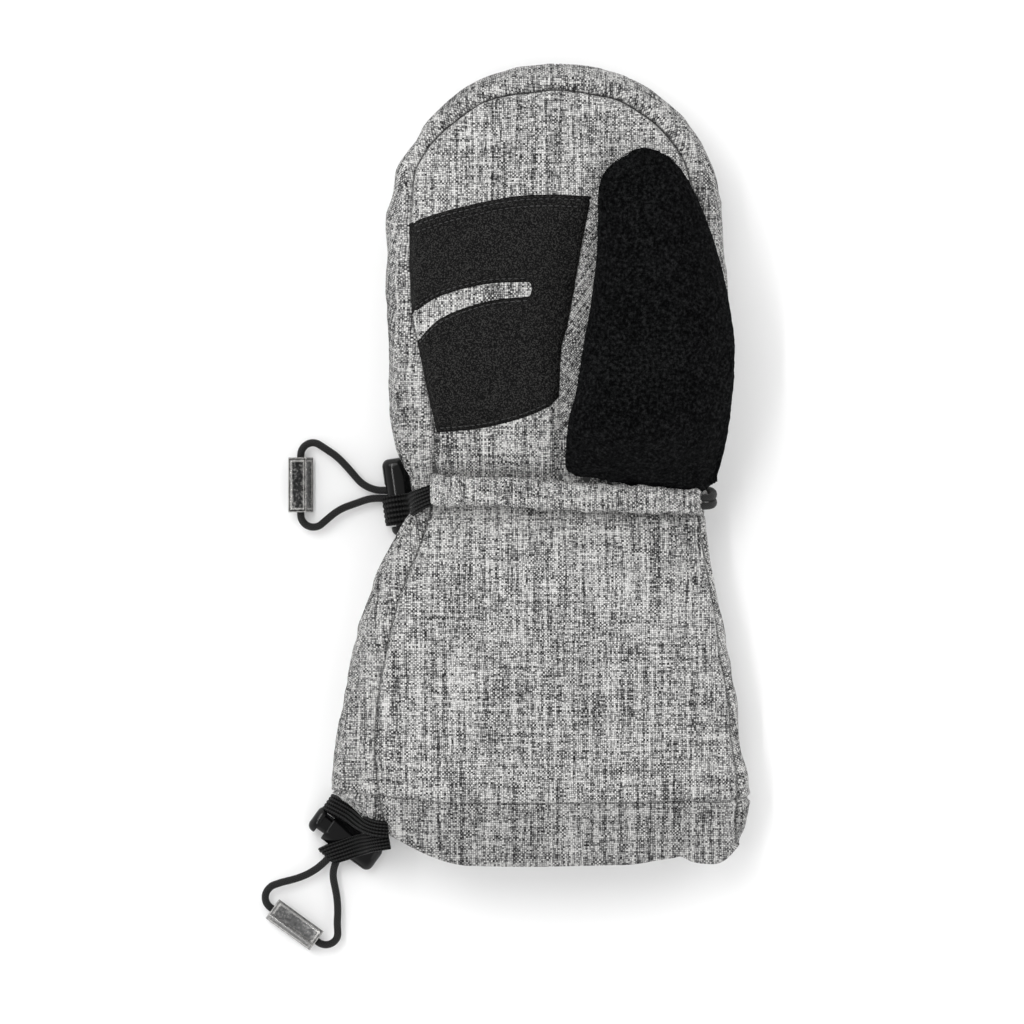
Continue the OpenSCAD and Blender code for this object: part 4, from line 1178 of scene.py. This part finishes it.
def wrist_cord():
    def above(x):
        return x, float(wrist_top(np.array(float(x)), np.array(0.0))) + 2.0
    half = 49.5
    side = half + 2.15
    pts = [(1, 4.5), (0.4 * half, 4.5), (0.78 * half, 4.5), (0.97 * half, 9.1), (side, 17), (0.98 * side, 25)]
    pts += [above(x) for x in (0.87 * half, *np.linspace(0.7 * half, -0.78 * half, 8))]
    parts = []
    for k, y in enumerate((-STRAND, STRAND)):
        path = polyline([(x, y, z) for x, z in pts], 0.8)
        path[:, 1] += band_line(path[:, 0]) * smooth((path[:, 2] - 12) / 16)
        parts.append(sweep(f"strand{k}", path, circle(CORD_R, 12), up=(0, 1, 0)))
    put(join("wrist_cord_strands", parts), CORD, "mitten", "elastic_cord", "wrist_drawcord")


wrist_cord()


def hem_cord():
    a = np.linspace(math.radians(-32), math.radians(308), 160)
    y = -CUFF + CUFF / 11
    path = body(np.full(len(a), y), a, np.full(len(a), 3.2))
    parts = [sweep("ring", path, circle(1.1, 10), up=(0, 1, 0))]
    for s in (-STRAND, STRAND):
        line = np.stack([np.linspace(1, 20, 24), np.full(24, s), np.zeros(24)], -1)
        parts.append(sweep("exit", place(line, *HEM_LOCK), circle(1.18, 12)))
    put(join("hem_cord_strands", parts), CORD, "mitten", "elastic_cord", "hem_drawcord")


hem_cord()

# ---------------------------------------------------------------- cord locks

# the barrel's section and its ends along the lock, the button's travel, the stem's top and the cavity's end
BARREL_W, BARREL_T = 10.0, 5.8
CLOSED, OPEN = 12.4, -7.6
TRAVEL, STEM_TOP, CAVITY_END = 2.8, 4.8, 10.4


def oval(w, t, power=POWER):
    a = circle_angles(44)
    return np.stack([w / 2 * spow(np.cos(a), 2 / power), t / 2 * spow(np.sin(a), 2 / power)], -1)


def pill(name, w, t, y1, y2, r1, r2):
    """A bar of oval section along Y with rounded ends, in a lock's own frame."""
    turn = np.linspace(0, math.pi / 2, 8)
    along, inward = 1 - np.cos(turn), 1 - np.sin(turn)
    straight = np.linspace(y1 + r1, y2 - r2, 12)[1:-1]
    ys = np.concatenate([y1 + r1 * along, straight, (y2 - r2 * along)[::-1]])
    inset = np.concatenate([r1 * inward, 0 * straight, r2 * inward[::-1]])
    path = np.stack([0 * ys, ys, 0 * ys], -1)
    return sweep(name, path, np.stack([oval(w - 2 * i, t - 2 * i) for i in inset]))


def carve(ob, cuts, edge=0.0):
    """Takes the cuts away from a piece and rounds its corners over edge millimetres."""
    for cut in cuts:
        mod = ob.modifiers.new("cut", "BOOLEAN")
        mod.operation, mod.object, mod.solver = "DIFFERENCE", cut, "EXACT"
    if edge:
        bevel = ob.modifiers.new("bevel", "BEVEL")
        bevel.width, bevel.segments, bevel.limit_method, bevel.angle_limit = edge * MM, 3, "ANGLE", 0.9
    apply_modifiers(ob)
    for cut in cuts:
        bpy.data.objects.remove(cut)


def cord_slot(height, y, lean):
    path = place([(x, 0, 0) for x in (-20, 0, 20)], (0, y, 0), -lean)
    return sweep("slot", path, oval(height + 10 * math.tan(math.radians(lean)), 3.0, power=3))


def at_lock(ob, lock, roll=0.0, shift=(0, 0, 0)):
    """Moves a piece from its lock's own frame into the mitten's, first rolled about Y (degrees) and shifted."""
    x, y, z = np.array([v.co[:] for v in ob.data.vertices]).T / MM
    c, s = math.cos(math.radians(roll)), math.sin(math.radians(roll))
    co = place(np.stack([x * c + z * s, y, z * c - x * s], -1) + shift, *lock) * MM
    ob.data.vertices.foreach_set("co", co.astype(np.float32).ravel())
    return outward(ob, 0.6)


def cord_lock(name, lock, lean):
    """Hollow barrel, plunger with its cap, and the spring between them."""
    barrel = pill(f"{name}_barrel_cover", BARREL_W, BARREL_T, OPEN, CLOSED, 0.5, 2.5)
    carve(barrel, [pill("cavity", 7.1, 4.3, OPEN - 1, CAVITY_END, 0.1, 0.1), cord_slot(5.8, 0, lean)])
    put(at_lock(barrel, lock), PLASTIC, "mitten", "lock_plastic", f"{name}_lock_barrel")
    stem = pill(f"{name}_button_stem", 6.2, 3.7, OPEN - 3.6, STEM_TOP, 0.2, 0.2)
    carve(stem, [cord_slot(9.0, -TRAVEL / 2 - 0.1, lean)])
    cap = pill("cap", 9.4, 5.6, OPEN - TRAVEL - 3.4, OPEN - TRAVEL - 0.2, 2.3, 0.4)
    button = join(f"{name}_button_cap", [cap, stem])
    put(at_lock(button, lock), PLASTIC, f"{name}_button", "lock_plastic", f"{name}_lock_plunger")
    t = np.linspace(0, 1, 120)
    turns, gap = 7 * math.pi * t, 0.35
    coil = np.stack([1.6 * np.cos(turns), mix(STEM_TOP + gap, CAVITY_END - gap, t), 1.6 * np.sin(turns)], -1)
    coil = at_lock(sweep(f"{name}_spring_coil", coil, circle(0.22, 8), up=(0, 1, 0)), lock)
    put(coil, STEEL, "mitten", "spring_wire", f"{name}_lock_spring")
    tuple(place((0, 1, 0), (0, 0, 0), *lock[1:]))
    tuple(place((0, CAVITY_END, 0), *lock) * MM)
    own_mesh(coil)


cord_lock("wrist", WRIST_LOCK, 8)
cord_lock("hem", HEM_LOCK, 0)


def ribbon(name, path, sides, widths, ribs, thick=1.1):
    """Ribbed webbing along a path; sides are its width directions and widths its widths at the given points."""
    line = polyline(path, 0.6)
    run, at = run_along(path), run_along(line)
    on_run = at * run[-1] / at[-1]
    towards = np.stack([np.interp(on_run, run, np.asarray(sides, float)[:, k]) for k in range(3)], -1)
    side, nor = frames(line, lambda t: towards - (towards * t).sum(1, keepdims=True) * t)
    w = np.linspace(-0.5, 0.5, 10 * ribs + 1)
    rib = 0.30 * np.abs(np.cos(w * math.pi * ribs)) ** 0.7 - 0.12
    edge = np.sqrt(np.clip(1 - np.abs(2 * w) ** 14, 0.02, 1))
    h = (thick / 2 + rib) * edge
    section = np.concatenate([np.stack([w, h], -1), np.stack([w, -h], -1)[::-1]])
    width = np.interp(on_run, run, np.broadcast_to(np.asarray(widths, float), len(path)))[:, None, None]
    p = line[:, None] + section[None, :, :1] * width * side[:, None] + section[None, :, 1:] * nor[:, None]
    return outward(tube(name, p, section[None, :, 0] * ribs, at[:, None]))


def wrist_webbing():
    r, c, y = BARREL_T / 2 + 0.85, (BARREL_T - BARREL_W) / 2 - 0.1, -5.0
    pts = [(13.0, y + 3.8, 24.4), (8.0, y + 2.6, 23.0), (4.9, y + 1.6, 20.4), (3.3, y + 0.7, 15.5), (2.8, y, 9),
           (1.5, y, r + 0.6)]
    pts += [(c + r * math.cos(math.radians(k)), y, r * math.sin(math.radians(k))) for k in range(90, 271, 18)]
    pts += [(5, y, -r + 0.3), (11.5, y, -r + 0.6)]
    path = place(pts, *WRIST_LOCK)
    path[:, 2] = np.maximum(path[:, 2], 0.75)
    level, steep = place((0, 1, 0), (0, 0, 0), 8), np.array([0, 1, -0.22])
    sides = [steep] * 3 + [mix(steep, level, 0.5)] + [level] * (len(path) - 4)
    ob = ribbon("wrist_webbing", path, sides, [6.8, 7.4, 8.4, 9.4] + [10.2] * (len(path) - 4), 6)
    put(ob, WEB, "mitten", "webbing", "wrist_lock_tab")


def hem_webbing():
    over = [(-57.3, -116.0, 27.4), (-60.5, -116.6, 26.4), (-63.6, -117.3, 23), (-66.3, -118.1, 16.5),
            (-69.3, -119.2, 10.8), (-73.2, -120.6, 8.9), (-77.2, -121.9, 7.3), (-78.9, -122.4, 4.6),
            (-77.2, -121.9, 1.8), (-72, -119.8, 1.0)]
    lean = [(0.12, -0.99, 0), (0.12, -0.99, 0), (0.16, -0.98, 0), (0.24, -0.96, 0), (0.38, -0.92, 0),
            (0.6, -0.8, 0), (0.7, -0.7, 0), (0.75, -0.65, 0), (0.75, -0.65, 0), (0.7, -0.7, 0)]
    parts = [ribbon("over", np.array(over), lean, [6.6] * 3 + [7.2] * 7, 6)]
    under = [(-57.9, -112.6, 28.9), (-61.4, -112.3, 28.2), (-65.0, -111.3, 24.6), (-67.9, -109.6, 18.8),
             (-70.9, -107.6, 13.5), (-74.2, -105.9, 10.6), (-77.3, -104.6, 7.6), (-78.2, -104.4, 4.6),
             (-76.6, -105.8, 1.7), (-71.5, -109.5, 1.0)]
    lean = [(0.05, 1.0, 0), (0.1, 1.0, 0), (0.35, 0.93, 0.1), (0.55, 0.8, 0.2), (0.6, 0.75, 0.2),
            (0.6, 0.8, 0.15), (0.55, 0.8, 0.1), (0.55, 0.8, 0), (0.6, 0.8, 0), (0.7, 0.7, 0)]
    parts.append(ribbon("under", np.array(under), lean, [5.6] * 3 + [6.4] * 7, 5))
    put(join("hem_webbing", parts), WEB, "mitten", "webbing", "hem_lock_tab")


wrist_webbing()
hem_webbing()


def bead(end, lock, roll, skew, metal):
    """Square gunmetal sleeve with a sunk panel on each side and a bore for the cord."""
    half, length = 3.3, 18.6

    def block(size, at=(0, 0, 0), turn=0.0):
        bpy.ops.mesh.primitive_cube_add(size=1)
        ob = bpy.context.active_object
        ob.scale, ob.location, ob.rotation_euler = Vector(size) * MM, Vector(at) * MM, (0, turn, 0)
        return ob

    ob = block((2 * half, length, 2 * half))
    ob.name = f"{end}_bead_metal"
    bpy.ops.object.transform_apply(scale=True)
    quarters = [k * math.pi / 2 for k in range(4)]
    panel = (2 * half - 1.9, length - 2.2, 0.7)
    cuts = [block(panel, (half * math.sin(a), 0, half * math.cos(a)), a) for a in quarters]
    bpy.ops.mesh.primitive_cylinder_add(vertices=40, radius=1.6 * MM, depth=(length + 3) * MM,
                                        rotation=(math.pi / 2, 0, 0))
    cuts.append(bpy.context.active_object)
    bpy.context.view_layer.update()
    carve(ob, cuts, 0.32)
    put(at_lock(ob, lock, roll, (-BEAD_X, skew, 0)), metal, f"{end}_bead", "bead_metal", f"{end}_bead")


bead("wrist", WRIST_LOOP, -20, 3.2, DARK_METAL)
bead("hem", HEM_LOCK, -18, 2.6, GREY_METAL)

# ---------------------------------------------------------------- sewing

def sewn_lines():
    row = FIRST + int(round((CUFF - RIM - HEM) / ROW_STEP))
    ids = np.arange(COLS + 1) % COLS
    line, n = P[row][ids], normals(P)[row][ids]
    ob = stitches("shell_stitching", line + 0.05 * n, n, 2.6, 1.9, 0.17)
    put(ob, GREY_THREAD, "mitten", "heather_shell")


sewn_lines()

# ---------------------------------------------------------------- stage

def stage():
    bpy.ops.mesh.primitive_plane_add(size=6, location=(0, 0, 0))
    floor = bpy.context.active_object
    floor.name = "floor"
    n = Nodes("floor_paper")
    ray = n.node("ShaderNodeLightPath")
    near = n.mul(ray.outputs["Is Diffuse Ray"], n.math("LESS_THAN", ray.outputs["Ray Length"], 0.02))
    below = n.node("ShaderNodeNewGeometry").outputs["Backfacing"]
    n.set(Base_Color=(0.93, 0.93, 0.93, 1), Roughness=0.9, Specular_IOR_Level=0.1,
          Alpha=n.sub(1.0, n.max(below, near)))
    floor.data.materials.append(n.mat)
    world = bpy.data.worlds.new("studio")
    bpy.context.scene.world = world
    world.use_nodes = True
    t = world.node_tree
    bg = t.nodes["Background"]
    up, ramp = t.nodes.new("ShaderNodeSeparateXYZ"), t.nodes.new("ShaderNodeValToRGB")
    t.links.new(t.nodes.new("ShaderNodeTexCoord").outputs["Generated"], up.inputs[0])
    t.links.new(up.outputs[2], ramp.inputs[0])
    t.links.new(ramp.outputs[0], bg.inputs[0])
    for k, (at, grey) in enumerate(((0.35, 1), (0.85, 0.42))):
        ramp.color_ramp.elements[k].position, ramp.color_ramp.elements[k].color = at, (grey, grey, grey, 1)
    bg.inputs[1].default_value = 1.47

    def add(name, data, at, turn=(0, 0, 0)):
        ob = bpy.data.objects.new(name, data)
        bpy.context.scene.collection.objects.link(ob)
        ob.location, ob.rotation_euler = at, turn
        return ob

    def lamp(name, shape, size, power, at, turn=None):
        data = bpy.data.lights.new(name, "AREA")
        data.shape, data.size, data.size_y, data.energy = shape, *size, power
        to_middle = (-Vector(at)).to_track_quat("-Z", "Y").to_euler()
        add(name, data, at, turn or to_middle)

    lamp("key", "DISK", (1.1, 1.1), 7.5, (-0.52, 0.62, 1.45))
    lamp("fill", "DISK", (1.2, 1.2), 3, (0.9, -0.4, 1.5))
    lamp("strip", "RECTANGLE", (0.03, 0.9), 1.9, (-0.36, 0.1, 0.95), (0, -0.36, 0))
    cam = bpy.data.cameras.new("camera")
    cam.lens, cam.sensor_width = 240, 36
    bpy.context.scene.camera = add("camera", cam, (-0.016, -0.006, 2.32))
    bpy.context.scene.view_settings.view_transform = "Standard"
    bpy.context.scene.view_settings.look = "None"


stage()
